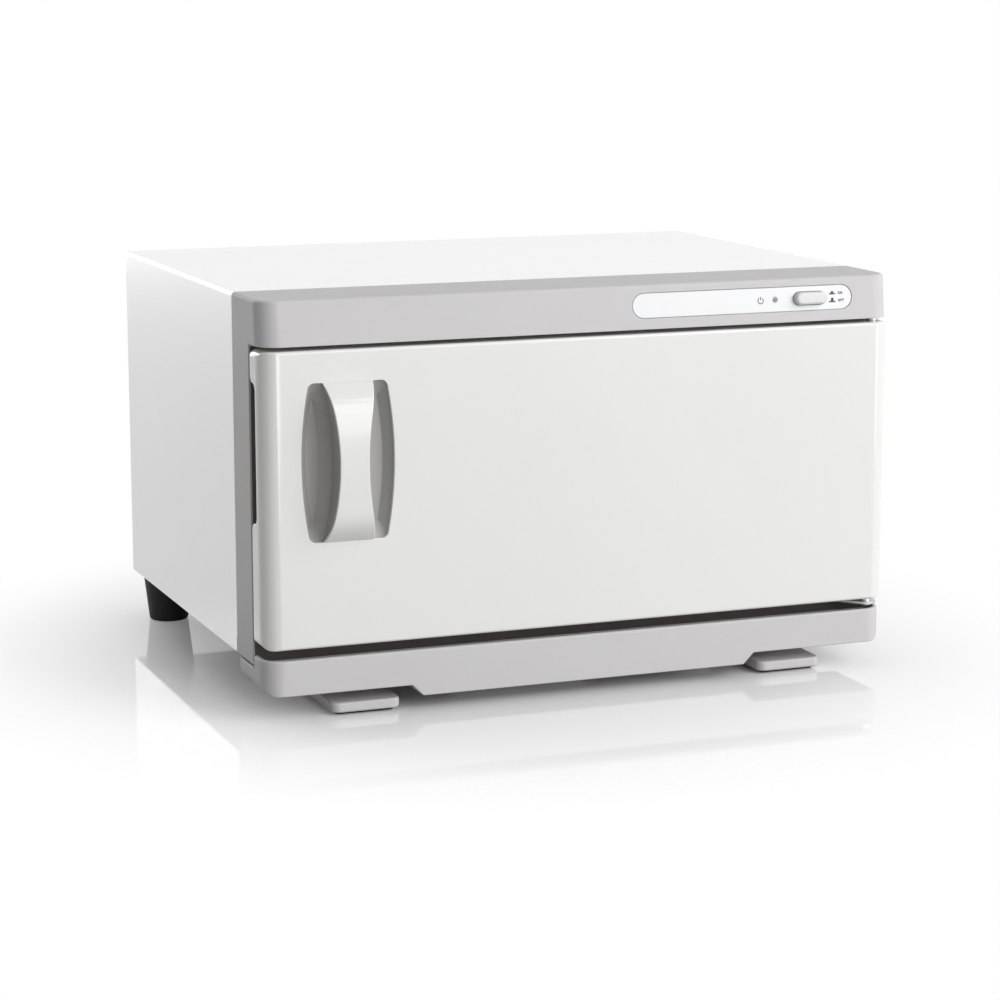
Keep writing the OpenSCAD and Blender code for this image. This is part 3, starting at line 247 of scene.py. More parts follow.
def label_white():
    """Screen-printed white sheet with a satin top film."""
    white = (0.70, 0.705, 0.715)
    finish = Finish("label_white", white, 0.3)
    finish.tint(finish.cloud(0.05), *shades(white, 0.015))
    finish.gloss(0.26 + 0.1 * finish.cloud(0.008))
    return finish.relief(finish.cloud(0.0009, detail=2.0), depth=0.000008)


def button_satin():
    """Pale grey satin cap with a fine grain."""
    grey = (0.62, 0.61, 0.615)
    finish = Finish("button_satin", grey, 0.34)
    finish.tint(finish.cloud(0.01), *shades(grey, 0.03))
    finish.gloss(0.3 + 0.1 * finish.cloud(0.003))
    return finish.relief(finish.cloud(0.0005, detail=3.0), depth=0.00001)


def lamp_smoke():
    """Smoked lens of an unlit lamp, uneven in tone where the bulb behind it shows."""
    smoke = (0.16, 0.14, 0.14)
    finish = Finish("lamp_smoke", smoke, 0.16, Coat_Weight=0.6)
    finish.tint(finish.cloud(0.0012), *shades(smoke, 0.3))
    return finish.relief(finish.cloud(0.0004), depth=0.00001)


def zinc_plate():
    """Zinc-plated steel: brushed streaks along X with a soft cloudy bloom."""
    zinc = (0.55, 0.56, 0.575)
    finish = Finish("zinc_plate", zinc, 0.3, Metallic=1.0)
    streak = finish.cloud(0.0008, detail=4.0, rough=0.65, where=finish.stretched((0.06, 1.0, 1.0)))
    bloom = finish.cloud(0.01)
    finish.tint(0.6 * streak + 0.4 * bloom, *shades(zinc, 0.16))
    finish.gloss(0.22 + 0.2 * bloom)
    return finish.relief(streak, depth=0.000012)


def mill_aluminium():
    """Drawn aluminium sheet: fine rolling lines along the chamber's depth and dull patches left by steam."""
    silver = (0.775, 0.78, 0.79)
    finish = Finish("mill_aluminium", silver, 0.32, Metallic=1.0)
    rolling = finish.cloud(0.0011, detail=4.0, rough=0.6, where=finish.stretched((1.0, 0.03, 1.0)))
    steam = finish.cloud(0.035, detail=4.0, rough=0.6)
    finish.tint(0.5 * rolling + 0.5 * steam, *shades(silver, 0.1))
    finish.gloss(0.24 + 0.22 * steam)
    return finish.relief(rolling, depth=0.00001)


def bright_wire():
    """Bright nickel-chrome plating, slightly uneven, with a fine drawn skin."""
    chrome = (0.745, 0.75, 0.757)
    finish = Finish("bright_wire", chrome, 0.12, Metallic=1.0)
    finish.tint(finish.cloud(0.012), *shades(chrome, 0.06))
    finish.gloss(0.09 + 0.1 * finish.cloud(0.006))
    return finish.relief(finish.cloud(0.0006), depth=0.000006)


def black_rubber():
    """Matt black rubber with a dusty bloom and a fine pebbled skin."""
    black = (0.025, 0.025, 0.025)
    finish = Finish("black_rubber", black, 0.62, Specular_IOR_Level=0.3)
    finish.tint(finish.cloud(0.006, detail=4.0), *shades(black, 0.33))
    finish.gloss(0.55 + 0.2 * finish.cloud(0.003))
    return finish.relief(finish.cloud(0.0008), depth=0.00005)


def milky_silicone():
    """Soft pale silicone seal, slightly greyer in patches where it has been pressed."""
    milk = (0.66, 0.66, 0.64)
    finish = Finish("milky_silicone", milk, 0.45, Subsurface_Weight=0.15)
    finish.tint(finish.cloud(0.02), *shades(milk, 0.06))
    finish.gloss(0.4 + 0.14 * finish.cloud(0.005))
    return finish.relief(finish.cloud(0.0009), depth=0.00002)


def plain_moulding(name, color, roughness=0.45):
    """Small technical moulding in one colour: fine grain and a slight drift of tone."""
    finish = Finish(name, color, roughness)
    finish.tint(finish.cloud(0.008), *shades(color, 0.1))
    finish.gloss(roughness - 0.06 + 0.14 * finish.cloud(0.003))
    return finish.relief(finish.cloud(0.0006), depth=0.000015)


def mineral_wool():
    """Pressed mineral wool: matted fibres in two directions."""
    straw = (0.65, 0.575, 0.36)
    finish = Finish("mineral_wool", straw, 0.95, Specular_IOR_Level=0.1)
    long_x = finish.stretched((0.12, 1.0, 1.0), turn=(0.0, 0.0, 0.5))
    along = finish.cloud(0.0012, detail=5.0, rough=0.7, where=long_x)
    long_z = finish.stretched((1.0, 1.0, 0.12), turn=(0.4, 0.0, 0.0))
    across = finish.cloud(0.0012, detail=5.0, rough=0.7, where=long_z)
    finish.tint(0.5 * along + 0.5 * across, *shades(straw, 0.3))
    return finish.relief(along * across, depth=0.0006)


POWDER = powder_coat()
GREY = moulded_grey()
DOOR = door_gloss()
CUP = cup_grain()
# Dark taupe finish behind the door: painted shade for the gaps round it
SHADE_SURROUND = painted_shade_surround()
LABEL = label_white()
BUTTON = button_satin()
LAMP = lamp_smoke()
ZINC = zinc_plate()
ALUMINIUM = mill_aluminium()
WIRE = bright_wire()
RUBBER = black_rubber()
SILICONE = milky_silicone()
WOOL = mineral_wool()
BOARD = plain_moulding("solder_mask", (0.03, 0.16, 0.06), 0.3)
BLACK = plain_moulding("black_moulding", (0.03, 0.03, 0.032))
CHARCOAL = plain_moulding("charcoal_moulding", (0.10, 0.10, 0.102))
IVORY = plain_moulding("ivory_moulding", (0.68, 0.64, 0.53))
HEATER = plain_moulding("heater_silicone", (0.34, 0.07, 0.045), 0.5)
SLEEVE = plain_moulding("glass_sleeve", (0.70, 0.69, 0.66), 0.8)
INK = plain_moulding("printed_ink", (0.055, 0.045, 0.045), 0.4)


# Softened CAD nodes

# Points closer than the first are one point, and faces thinner than the second are dropped, in metres
WELD = 2e-6
SLIVER = 1e-5
# Turns in degrees: faces that turn less than the first are one flat, outward edges that turn more than the
# second are rounded, and edges that then still turn more than the third stay crisp
FLAT_TURN = 0.05
ROUNDED_TURN = 32.0
CRISP_TURN = 35.0
BEVEL_STEPS = 3
# How much large faces outweigh small ones in the shading, where 50 is even
FLAT_WEIGHT = 80


def softened(node, finish, width):
    """Welded copy of a CAD solid with its flat faces joined. Its outward edges get a round bevel of that
    width, its inward corners stay crisp, and normals weighted by area keep the flats flat."""
    work = bmesh.new()
    work.from_mesh(frame["nodes"][node].data)
    bmesh.ops.remove_doubles(work, verts=work.verts, dist=WELD)
    bmesh.ops.dissolve_degenerate(work, dist=SLIVER, edges=work.edges)
    flat = math.radians(FLAT_TURN)
    bmesh.ops.dissolve_limit(work, angle_limit=flat, verts=work.verts, edges=work.edges)
    rounded = math.radians(ROUNDED_TURN)
    rims = [edge for edge in work.edges if edge.calc_face_angle_signed(0.0) > rounded]
    bmesh.ops.bevel(
        work, geom=rims, offset=width, segments=BEVEL_STEPS, profile=0.5, affect="EDGES", loop_slide=True
    )
    bmesh.ops.remove_doubles(work, verts=work.verts, dist=WELD)
    crisp = math.radians(CRISP_TURN)
    for edge in work.edges:
        edge.smooth = edge.calc_face_angle(0.0) < crisp
    mesh = bpy.data.meshes.new(node + "_soft")
    work.to_mesh(mesh)
    work.free()
    mesh.materials.clear()
    mesh.materials.append(finish.material)
    mesh.shade_smooth()
    piece = bpy.data.objects.new(node + "_soft", mesh)
    bpy.context.scene.collection.objects.link(piece)
    normals = piece.modifiers.new("normals", "WEIGHTED_NORMAL")
    normals.weight = FLAT_WEIGHT
    normals.keep_sharp = True
    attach(piece, body_of(frame["nodes"][node])[0])
    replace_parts(piece, node)


def dress(node, finish):
    """Gives a CAD node that keeps its own mesh a finish in all its slots."""
    data = frame["nodes"][node].data
    data.materials.clear()
    data.materials.append(finish.material)


# Finish and edge width in millimetres of each node whose edges are softened
SOFTENED = {
    "outer_shell": (POWDER, 0.3),
    "back_panel": (POWDER, 0.2),
    "base_pan": (ZINC, 0.2),
    "front_frame": (GREY, 0.35),
    # The surround's dark taupe finish is painted shade for the gaps round the door
    "mouth_surround": (SHADE_SURROUND, 0.2),
    "control_plate": (LABEL, 0.15),
    "power_button": (BUTTON, 0.2),
    "drip_tray": (GREY, 0.6),
    "front_foot_left": (GREY, 1.2),
    "front_foot_right": (GREY, 1.2),
    "front_foot_pads": (RUBBER, 0.3),
    "rear_foot_left": (RUBBER, 0.5),
    "rear_foot_right": (RUBBER, 0.5),
    "door_shell": (DOOR, 0.5),
    "handle_cup": (CUP, 0.2),
    "door_liner": (DOOR, 0.25),
    "lower_hinge_plate": (ZINC, 0.2),
    "strike_plate": (ZINC, 0.15),
    "chamber_liner": (ALUMINIUM, 0.3),
    "cord_gland": (RUBBER, 0.3),
    "tray_guides": (CHARCOAL, 0.3),
    "magnet_catch": (CHARCOAL, 0.3),
    "terminal_block": (IVORY, 0.3),
    "push_switch": (BLACK, 0.3),
    "lamp_board": (BOARD, 0.1),
    "heater_mat": (HEATER, 0.4),
    "thermostat": (BLACK, 0.2),
    "thermal_fuse": (ZINC, 0.2),
    "chamber_posts": (CHARCOAL, 0.3),
}
for node_name, (coat, edge_mm) in SOFTENED.items():
    softened(node_name, coat, edge_mm * MM)

# Finish of each node that keeps its own mesh
KEPT = {
    "power_lamp": LAMP,
    "upper_hinge_pin": ZINC,
    "lower_hinge_pin": ZINC,
    "hinge_bushes": IVORY,
}
for node_name, coat in KEPT.items():
    dress(node_name, coat)


# New surfaces

# Grid points closer than this, in metres, are one point
MEET = 1e-7
# How far a wire's ends draw in, as a share of its radius, and how close the pole lies to the last ring, as a
# share of that
WIRE_CHAMFER = 0.15
WIRE_POLE = 0.02


def grid_faces(rows, columns, start):
    """Quads between the rows of a grid whose points are numbered from start, each row closed on itself."""
    row, column = np.meshgrid(np.arange(rows - 1), np.arange(columns), indexing="ij")
    after = (column + 1) % columns
    low, high = row * columns, (row + 1) * columns
    quads = np.stack([low + column, low + after, high + after, high + column], axis=-1)
    return quads.reshape(-1, 4) + start


def lay_mesh(name, grids, finish, body):
    """One piece from grids of points in millimetres, rows by columns by 3. Each row is a ring, and a ring
    with no width is a pole. Points that meet are welded and the faces are turned outward."""
    starts = np.cumsum([0] + [grid.shape[0] * grid.shape[1] for grid in grids])
    points = np.concatenate([grid.reshape(-1, 3) for grid in grids]) * MM
    faces = np.concatenate([grid_faces(*grid.shape[:2], start) for grid, start in zip(grids, starts)])
    mesh = bpy.data.meshes.new(name)
    mesh.from_pydata(points.tolist(), [], faces.tolist())
    work = bmesh.new()
    work.from_mesh(mesh)
    bmesh.ops.remove_doubles(work, verts=work.verts, dist=MEET)
    bmesh.ops.recalc_face_normals(work, faces=work.faces)
    work.to_mesh(mesh)
    work.free()
    mesh.materials.append(finish.material)
    mesh.shade_smooth()
    piece = bpy.data.objects.new(name, mesh)
    bpy.context.scene.collection.objects.link(piece)
    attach(piece, body)
    return piece


def corners_mm(node):
    """Lowest and highest corner of a CAD node, in millimetres."""
    return [np.array(corner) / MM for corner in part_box(node)]


def solids_mm(node):
    """Lowest and highest corner of each separate solid of a CAD node, in millimetres. Points at one place
    count as one, and the lowest label spreads along the edges until no label changes."""
    mesh = frame["nodes"][node].data
    points = np.empty(3 * len(mesh.vertices))
    mesh.vertices.foreach_get("co", points)
    points = points.reshape(-1, 3) / MM
    edges = np.empty(2 * len(mesh.edges), int)
    mesh.edges.foreach_get("vertices", edges)
    place = np.unique(points.round(3), axis=0, return_inverse=True)[1].ravel()
    edges = place[edges].reshape(-1, 2)
    label = np.arange(place.max() + 1)
    changed = True
    while changed:
        spread = label.copy()
        np.minimum.at(spread, edges, label[edges].min(axis=1)[:, None])
        changed = (spread != label).any()
        label = spread
    solids = [points[label[place] == k] for k in np.unique(label)]
    return [(solid.min(axis=0), solid.max(axis=0)) for solid in solids]


def ring(count):
    """Cosine and sine of evenly spaced angles round a circle, count by 2."""
    angle = np.arange(count) * 2 * np.pi / count
    return np.stack([np.cos(angle), np.sin(angle)], axis=-1)


def bent(corners, radius, steps=8):
    """Flat path through corner points, N by 2, whose inner corners are arcs of that radius."""
    corners = np.array(corners, float)
    path = [corners[:1]]
    for before, at, after in zip(corners, corners[1:], corners[2:]):
        into = (at - before) / np.linalg.norm(at - before)
        out = (after - at) / np.linalg.norm(after - at)
        turn = math.atan2(into[0] * out[1] - into[1] * out[0], into @ out)
        arm = math.copysign(radius, turn) * np.array([into[1], -into[0]])
        centre = at - into * radius * math.tan(abs(turn) / 2) - arm
        angle = np.linspace(0, turn, steps)[:, None]
        path.append(centre + np.cos(angle) * arm + np.sin(angle) * np.array([-arm[1], arm[0]]))
    return np.concatenate(path + [corners[-1:]])


def carried(path, profile):
    """A profile carried along a flat path. Row k of the profile is the ring of (side, across) offsets at
    path point k, where side is square to the path in its plane. Gives (u, v, across) points, N by M by 3."""
    ahead = np.gradient(path, axis=0)
    ahead /= np.linalg.norm(ahead, axis=1, keepdims=True)
    side = np.stack([ahead[:, 1], -ahead[:, 0]], axis=-1)
    flat = path[:, None] + profile[..., :1] * side[:, None]
    return np.concatenate([flat, profile[..., 1:]], axis=-1)


def wire(path, radius, sides=14):
    """Round wire along a flat path: its ends draw in by a small chamfer and close to a pole."""
    chamfer = WIRE_CHAMFER * radius
    first, last = path[1] - path[0], path[-1] - path[-2]
    first = chamfer * first / np.linalg.norm(first)
    last = chamfer * last / np.linalg.norm(last)
    start = [path[0], path[0] + WIRE_POLE * first, path[0] + first]
    end = [path[-1] - last, path[-1] - WIRE_POLE * last, path[-1]]
    path = np.concatenate([start, path[1:-1], end])
    width = np.full(len(path), radius)
    width[[1, -2]] -= chamfer
    width[[0, -1]] = 0.0
    return carried(path, width[:, None, None] * ring(sides))


# Screws

SCREW_SIDES = 48
# Share of the head's radius and share of its height, from the middle over the rim to the seat
HEAD_REACH = np.array([0.0, 0.08, 0.16, 0.24, 0.32, 0.4, 0.47, 0.53, 0.6, 0.75, 0.87, 0.95, 0.99, 1.0, 1.0])
HEAD_RISE = np.array([1, 1, 1, 1, 1, 0.99, 0.98, 0.97, 0.95, 0.88, 0.78, 0.66, 0.52, 0.3, 0.0])
SHANK_R = 1.45
# Share of the shank's radius from the seat to the point, and heights above the tip where it draws in
SHANK_REACH = np.array([1, 1, 0.6, 0])
SHANK_RISE = np.array([1.5, 0.5, 0.0])
RECESS_HALF_W = 0.52
RECESS_REACH = 1.75
# Widths over which the recess's side walls and the ends of its arms slope down
RECESS_WALL = 0.14
RECESS_END = 0.3
# Shares of the head's height: the recess's depth at the middle, what it loses out to the rim, and the height
# above which it is cut
RECESS_DEPTH = 0.62
RECESS_LOSS = 0.22
RECESS_ABOVE = 0.9


def screw(low, high, axis, way, head_h):
    """Pan-head screw with a cross recess in the box of its CAD solid: rings from the middle of the head over
    its rim and down the shank to a point. The recess is a hollow where a ring's point lies within a half
    width of either of two crossed lines, and it is deepest at the middle."""
    others = [(axis + 1) % 3, (axis + 2) % 3]
    head_r = (high - low)[others[0]] / 2
    length = (high - low)[axis] - head_h
    reach = np.concatenate([head_r * HEAD_REACH, SHANK_R * SHANK_REACH])
    rise = np.concatenate([head_h * HEAD_RISE, [0.0], SHANK_RISE - length])
    flat = reach[:, None, None] * ring(SCREW_SIDES)
    arm = np.abs(flat).min(axis=-1)
    beside = np.clip((RECESS_HALF_W - arm) / RECESS_WALL, 0, 1)
    along = np.clip((RECESS_REACH - reach[:, None]) / RECESS_END, 0, 1)
    depth = head_h * beside * along * (RECESS_DEPTH - RECESS_LOSS * reach[:, None] / head_r)
    rise = rise[:, None] - np.where(rise[:, None] > RECESS_ABOVE * head_h, depth, 0.0)
    points = np.empty(flat.shape[:2] + (3,))
    points[..., others] = (low + high)[others] / 2 + flat
    seat = high[axis] - head_h if way > 0 else low[axis] + head_h
    points[..., axis] = seat + way * rise
    return points


# Axis that each group of screws lies along, which way the heads face, and the height of a head
SCREWS = {
    "back_screws": (1, 1, 1.8),
    "base_screws": (2, -1, 1.8),
    "hinge_screws": (1, -1, 1.0),
    "door_screws": (1, 1, 1.0),
    "foot_screws": (2, -1, 1.8),
}
for node_name, (screw_axis, head_way, head_mm) in SCREWS.items():
    heads = [screw(low, high, screw_axis, head_way, head_mm) for low, high in solids_mm(node_name)]
    home = body_of(frame["nodes"][node_name])[0]
    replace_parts(lay_mesh(node_name + "_heads", heads, ZINC, home), node_name)


# Rack, seal, leads and wool

# Share of the seal's half width and of its height along its outline: two lips with a valley between them
LIP_REACH = np.array([-1, -1, -0.9, -0.7, -0.47, -0.27, -0.1, 0.1, 0.27, 0.47, 0.7, 0.9, 1, 1])
LIP_RISE = np.array([0, 0.32, 0.65, 0.91, 1, 0.88, 0.68, 0.68, 0.88, 1, 0.91, 0.65, 0.32, 0])
# Size of the wool's faces, and how far its skin is drawn in: evenly, by its slow waves and by its fine one
WOOL_FACE = 4.0
WOOL_DEPTH = 0.525
WOOL_LUMPS = 0.225
WOOL_FIBRE = 0.15


def rack():
    """Welded wire rack: straight long wires on three cross wires whose ends are bent down into legs."""
    long_r, cross_r, bend, sunk = 1.5, 2.0, 5.0, 0.6
    long_count, long_points, cross_count = 15, 9, 3
    side_inset, end_inset = 4.0, 10.0
    low, high = corners_mm("wire_rack")
    leg_x = high[0] - cross_r
    long_z = high[2] - long_r
    cross_z = long_z - long_r - cross_r + sunk
    end_x = leg_x - side_inset
    straight = wire(np.linspace((low[1], long_z), (high[1], long_z), long_points), long_r)
    legged = wire(
        bent([(-leg_x, low[2]), (-leg_x, cross_z), (leg_x, cross_z), (leg_x, low[2])], bend), cross_r
    )
    wires = []
    for x in np.linspace(-end_x, end_x, long_count):
        wires.append(np.stack([x + straight[..., 2], straight[..., 0], straight[..., 1]], axis=-1))
    for y in np.linspace(low[1] + end_inset, high[1] - end_inset, cross_count):
        wires.append(np.stack([legged[..., 0], y + legged[..., 2], legged[..., 1]], axis=-1))
    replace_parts(lay_mesh("rack_wires", wires, WIRE, "cabinet"), "wire_rack")


def seal():
    """Door gasket: a flat foot with two soft lips, carried round a rectangle with rounded corners."""
    band, corner_r, corner_steps = 6.0, 3.2, 10
    low, high = corners_mm("door_gasket")
    lip = high[1] - low[1]
    left, right = low[0] + band / 2, high[0] - band / 2
    down, up = low[2] + band / 2, high[2] - band / 2
    corners = [(0, down), (right, down), (right, up), (left, up), (left, down), (0, down)]
    path = bent(corners, corner_r, corner_steps)
    outline = np.stack([LIP_REACH * band / 2, low[1] + LIP_RISE * lip], axis=-1)
    grid = carried(path, np.tile(outline, (len(path), 1, 1)))
    grid[-1] = grid[0]
    points = np.stack([grid[..., 0], grid[..., 2], grid[..., 1]], axis=-1)
    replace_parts(lay_mesh("gasket_lips", [points], SILICONE, "door"), "door_gasket")


def leads():
    """Three sleeved leads twisted round the harness's path: up inside the back, then forward to the
    switch."""
    harness_r, bend, bend_steps = 2.2, 4.0, 14
    count, sides, rings = 3, 10, 260
    twist, slack, lead_share = 28.0, 0.07, 0.44
    lead_r = lead_share * harness_r
    low, high = corners_mm("wiring_harness")
    back, top = high[1] - harness_r, high[2] - harness_r
    path = bent([(back, low[2]), (back, top), (low[1], top)], bend, bend_steps)
    run = np.concatenate([[0.0], np.cumsum(np.linalg.norm(np.diff(path, axis=0), axis=1))])
    evenly = np.linspace(0.0, run[-1], rings)
    path = np.stack([np.interp(evenly, run, path[:, k]) for k in range(2)], axis=-1)
    width = np.full(len(path), lead_r)
    width[[0, -1]] = 0.0
    middle_x = (low[0] + high[0]) / 2
    strands = []
    for start in np.arange(count) * 2 * np.pi / count:
        angle = start + evenly * 2 * np.pi / twist
        middle = (harness_r - lead_r - slack) * np.stack([np.cos(angle), np.sin(angle)], axis=-1)
        grid = carried(path, middle[:, None] + width[:, None, None] * ring(sides))
        strands.append(np.stack([middle_x + grid[..., 2], grid[..., 0], grid[..., 1]], axis=-1))
    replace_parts(lay_mesh("twisted_leads", strands, SLEEVE, "cabinet"), "wiring_harness")


def wool(node):
    """Wool board in the place of its CAD solid: remeshed into even small faces, then each point drawn in
    along its normal by a sum of three slow waves and a fine one, so that it is lumpy but never leaves the
    solid."""
    piece = bpy.data.objects.new(node + "_board", frame["nodes"][node].data.copy())
    bpy.context.scene.collection.objects.link(piece)
    even = piece.modifiers.new("even", "REMESH")
    even.mode = "VOXEL"
    even.voxel_size = WOOL_FACE * MM
    mesh = bpy.data.meshes.new_from_object(piece.evaluated_get(bpy.context.evaluated_depsgraph_get()))
    piece.modifiers.clear()
    piece.data = mesh
    place = np.empty(3 * len(mesh.vertices))
    mesh.vertices.foreach_get("co", place)
    facing = np.empty(3 * len(mesh.vertices))
    mesh.vertex_normals.foreach_get("vector", facing)
    place, facing = place.reshape(-1, 3), facing.reshape(-1, 3)
    x, y, z = place.T / MM
    # Millimetres to a radian of each wave, uneven so that the lumps don't repeat
    slow = (np.sin(x / 11 + z / 17) + np.sin(y / 13 - x / 19) + np.sin(z / 9 + y / 15)) / 3
    fine = np.sin(x / 2.3 + 2 * np.sin(y / 3.1)) * np.sin(z / 2.7 + y / 2.9)
    drawn_in = WOOL_DEPTH + WOOL_LUMPS * slow + WOOL_FIBRE * fine
    mesh.vertices.foreach_set("co", (place - facing * drawn_in[:, None] * MM).ravel())
    mesh.update()
    mesh.materials.clear()
    mesh.materials.append(WOOL.material)
    mesh.shade_smooth()
    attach(piece, body_of(frame["nodes"][node])[0])
    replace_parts(piece, node)


rack()
seal()
leads()
wool("chamber_insulation")
wool("rear_insulation")
wool("door_insulation")


# Printed signs on the control plate

# The bar's face leans back by the first over the second
PANEL_LEAN = math.atan2(2.6, 22.6)
PLATE_T = 0.8
INK_T = 0.035
LINE_POINTS = 3
ARC_POINTS = 33


def on_panel(grid):
    """Turns (along, up, out) points, measured from the middle of the control plate's front, into the
    frame."""
    low, high = corners_mm("control_plate")
    middle = (low + high) / 2
    along, up, out = np.moveaxis(grid, -1, 0)
    out = out + PLATE_T / 2
    y = middle[1] + up * math.sin(PANEL_LEAN) - out * math.cos(PANEL_LEAN)
    z = middle[2] + up * math.cos(PANEL_LEAN) + out * math.sin(PANEL_LEAN)
    return np.stack([along, y, z], axis=-1)


def stroke(points, width):
    """Printed line: a flat bar of that width along a path of (along, up) points. A path that comes back to
    its start is a closed ring, and any other has square ends."""
    path = np.array(points, float)
    half = width / 2
    outline = np.array([(-half, 0), (half, 0), (half, INK_T), (-half, INK_T)])
    bar = carried(path, np.tile(outline, (len(path), 1, 1)))
    if np.allclose(path[0], path[-1]):
        bar[-1] = bar[0]
        return on_panel(bar)
    ends = bar[[0, -1]].mean(axis=1, keepdims=True).repeat(len(outline), axis=1)
    return on_panel(np.concatenate([ends[:1], bar, ends[1:]]))


def line(x0, y0, x1, y1, width):
    """Straight stroke between two points of the plate."""
    return stroke(np.linspace((x0, y0), (x1, y1), LINE_POINTS), width)


def arc(x, y, across, high, start, end, width):
    """Stroke along an upright ellipse about a point, between two angles in degrees."""
    angle = np.radians(np.linspace(start, end, ARC_POINTS))
    return stroke(np.stack([x + across * np.cos(angle), y + high * np.sin(angle)], axis=-1), width)


def push_sign(x, y, stem):
    """Button seen from the side: a flat base with a stem that stands up from it."""
    base_w, base_h, stem_w = 3.7, 0.7, 1.5
    top = y + base_h / 2
    return [line(x - base_w / 2, y, x + base_w / 2, y, base_h), line(x, top, x, top + stem, stem_w)]


def letters(word, x, low):
    """ON or OFF in plain strokes, from its left end and base line."""
    high, pen, gap = 1.5, 0.34, 0.42
    o_w, n_w, f_w = 1.1, 0.85, 0.75
    f_short, f_bar, o_sweep = 0.1, 0.55, (90, 450)
    top = low + high
    half = pen / 2
    bar = low + f_bar * high
    lines = [arc(x + o_w / 2, low + high / 2, (o_w - pen) / 2, (high - pen) / 2, *o_sweep, pen)]
    left = x + o_w + gap
    for letter in word[1:]:
        lines.append(line(left, low, left, top, pen))
        if letter == "N":
            right = left + n_w
            lines.append(line(right, low, right, top, pen))
            lines.append(line(left, top - half, right, low + half, pen))
        else:
            right = left + f_w
            lines.append(line(left, top - half, right, top - half, pen))
            lines.append(line(left, bar, right - f_short, bar, pen))
        left = right + gap
    return lines


def signs():
    """Push-in and push-out signs with their words beside the button, and a power sign beside the lamp."""
    sign_gap, word_gap, lamp_gap = 2.6, 3.4, 6.3
    on_y, on_stem, on_line = 1.75, 0.95, 1.4
    off_y, off_stem, off_line = -2.3, 1.6, -2.5
    power_y, power_r, power_pen, power_low, power_top = -0.2, 1.55, 0.42, 0.1, 1.9
    power_sweep = (125, 415)
    sign_x = corners_mm("power_button")[1][0] + sign_gap
    word_x = sign_x + word_gap
    power_x = corners_mm("power_lamp")[0][0] - lamp_gap
    lines = push_sign(sign_x, on_y, on_stem) + push_sign(sign_x, off_y, off_stem)
    lines += letters("ON", word_x, on_line) + letters("OFF", word_x, off_line)
    lines.append(arc(power_x, power_y, power_r, power_r, *power_sweep, power_pen))
    lines.append(line(power_x, power_low, power_x, power_top, power_pen))
    lay_mesh("printed_signs", lines, INK, "cabinet")


signs()


# Camera, light and floor

LENS_MM = 102.26
SENSOR_MM = 36.0
CAMERA_PLACE = (-0.55753, -1.43651, 0.37004)
# Degrees that the camera is tipped down and turned to the right
CAMERA_TIP = 10.693
CAMERA_TURN = 21.261
WORLD_LIGHT = 0.27
FLOOR_WHITE = 0.95
FLOOR_BOUNCE = 0.42
FLOOR_ROUGHNESS = 0.05
# The floor's half width and how far it lies below the feet, in metres
FLOOR_REACH = 30.0
FLOOR_DROP = 0.0002
# Distances from the middle of the floor, in metres, over which it turns to plain white
FLOOR_FADE = (0.14, 0.34)
MIRROR_FADE = (0.18, 0.3)
# Place, aim and size of each lamp in metres, and its power in watts
SOFT_BOXES = {
    "key_right": ((1.6, -1.5, 1.2), (0.0, -0.05, 0.1), 1.9, 40.0),
    "front_fill": ((0.65, -2.3, 0.75), (-0.05, -0.1, 0.1), 1.6, 25.0),
    "top_light": ((-0.1, 0.3, 1.6), (0.0, 0.0, 0.1), 1.2, 3.0),
    "back_left": ((-1.0, 2.3, 0.55), (-0.17, 0.0, 0.1), 1.9, 33.0),
}


def set_camera():
    """Camera of the photograph: level roll, turned right and tipped down, with a long lens."""
    data = bpy.data.cameras.new("camera")
    data.lens = LENS_MM
    data.sensor_width = SENSOR_MM
    data.clip_start = 0.05
    data.clip_end = 60.0
    camera = bpy.data.objects.new("camera", data)
    camera.location = CAMERA_PLACE
    camera.rotation_euler = (math.radians(90.0 - CAMERA_TIP), 0.0, math.radians(-CAMERA_TURN))
    bpy.context.scene.collection.objects.link(camera)
    bpy.context.scene.camera = camera


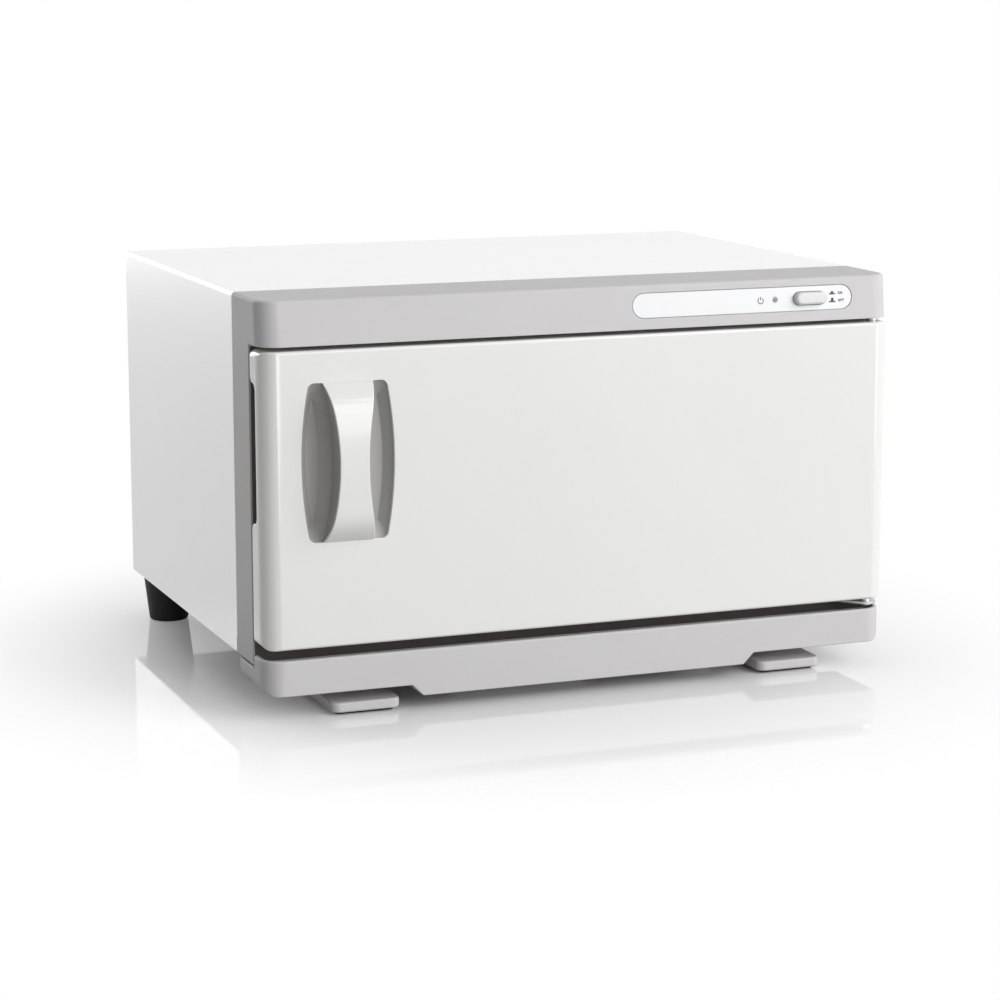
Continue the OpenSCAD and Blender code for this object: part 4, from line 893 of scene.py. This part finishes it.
def soft_box(name, place, aim, size, power):
    """Square area lamp at place that faces aim."""
    data = bpy.data.lights.new(name, "AREA")
    data.shape = "SQUARE"
    data.size = size
    data.energy = power
    lamp = bpy.data.objects.new(name, data)
    lamp.location = place
    away = np.array(place) - np.array(aim)
    level = math.hypot(away[0], away[1])
    lamp.rotation_euler = (math.atan2(level, away[2]), 0.0, math.atan2(away[0], -away[1]))
    bpy.context.scene.collection.objects.link(lamp)


def set_world():
    """Even studio white: full white where it shows, and a softer level as light on the object."""
    world = bpy.data.worlds.new("studio")
    bpy.context.scene.world = world
    world.use_nodes = True
    nodes = Nodes(world.node_tree)
    shown = nodes.ray("Camera") + nodes.ray("Glossy") + nodes.ray("Transmission")
    background = nodes.tree.nodes["Background"]
    background.inputs["Color"].default_value = (1.0, 1.0, 1.0, 1.0)
    nodes.put(background.inputs["Strength"], WORLD_LIGHT + (1.0 - WORLD_LIGHT) * shown)


def lay_floor():
    """Plain white polished floor that keeps the object's shadow and mirror image, runs out to full white
    away from it, and throws only a part of its light back up."""
    finish = Finish("floor_white", (FLOOR_WHITE,) * 3, FLOOR_ROUGHNESS)
    camera = finish.ray("Camera")
    finish.tint(camera, (FLOOR_BOUNCE,) * 3, (FLOOR_WHITE,) * 3)
    distance = finish.node("ShaderNodeVectorMath", {"operation": "LENGTH"}, {0: finish.where}, "Value")
    mirrored = finish.ray("Glossy") + finish.ray("Transmission")
    white = camera * distance.step(*FLOOR_FADE) + mirrored * distance.step(*MIRROR_FADE)
    glow = finish.node("ShaderNodeEmission", {}, {"Strength": 1.0})
    lit = Value(finish, finish.shader.outputs[0])
    mix = finish.node("ShaderNodeMixShader", {}, {"Fac": white, 1: lit, 2: glow})
    finish.put(finish.tree.nodes["Material Output"].inputs["Surface"], mix)
    reach = FLOOR_REACH
    mesh = bpy.data.meshes.new("floor")
    corners = [(-reach, -reach, 0), (reach, -reach, 0), (reach, reach, 0), (-reach, reach, 0)]
    mesh.from_pydata(corners, [], [(0, 1, 2, 3)])
    mesh.materials.append(finish.material)
    floor = bpy.data.objects.new("floor", mesh)
    floor.location = (0.0, 0.0, -FLOOR_DROP)
    bpy.context.scene.collection.objects.link(floor)


set_camera()
set_world()
lay_floor()
for lamp_name, setting in SOFT_BOXES.items():
    soft_box(lamp_name, *setting)
bpy.context.scene.view_settings.view_transform = "Standard"
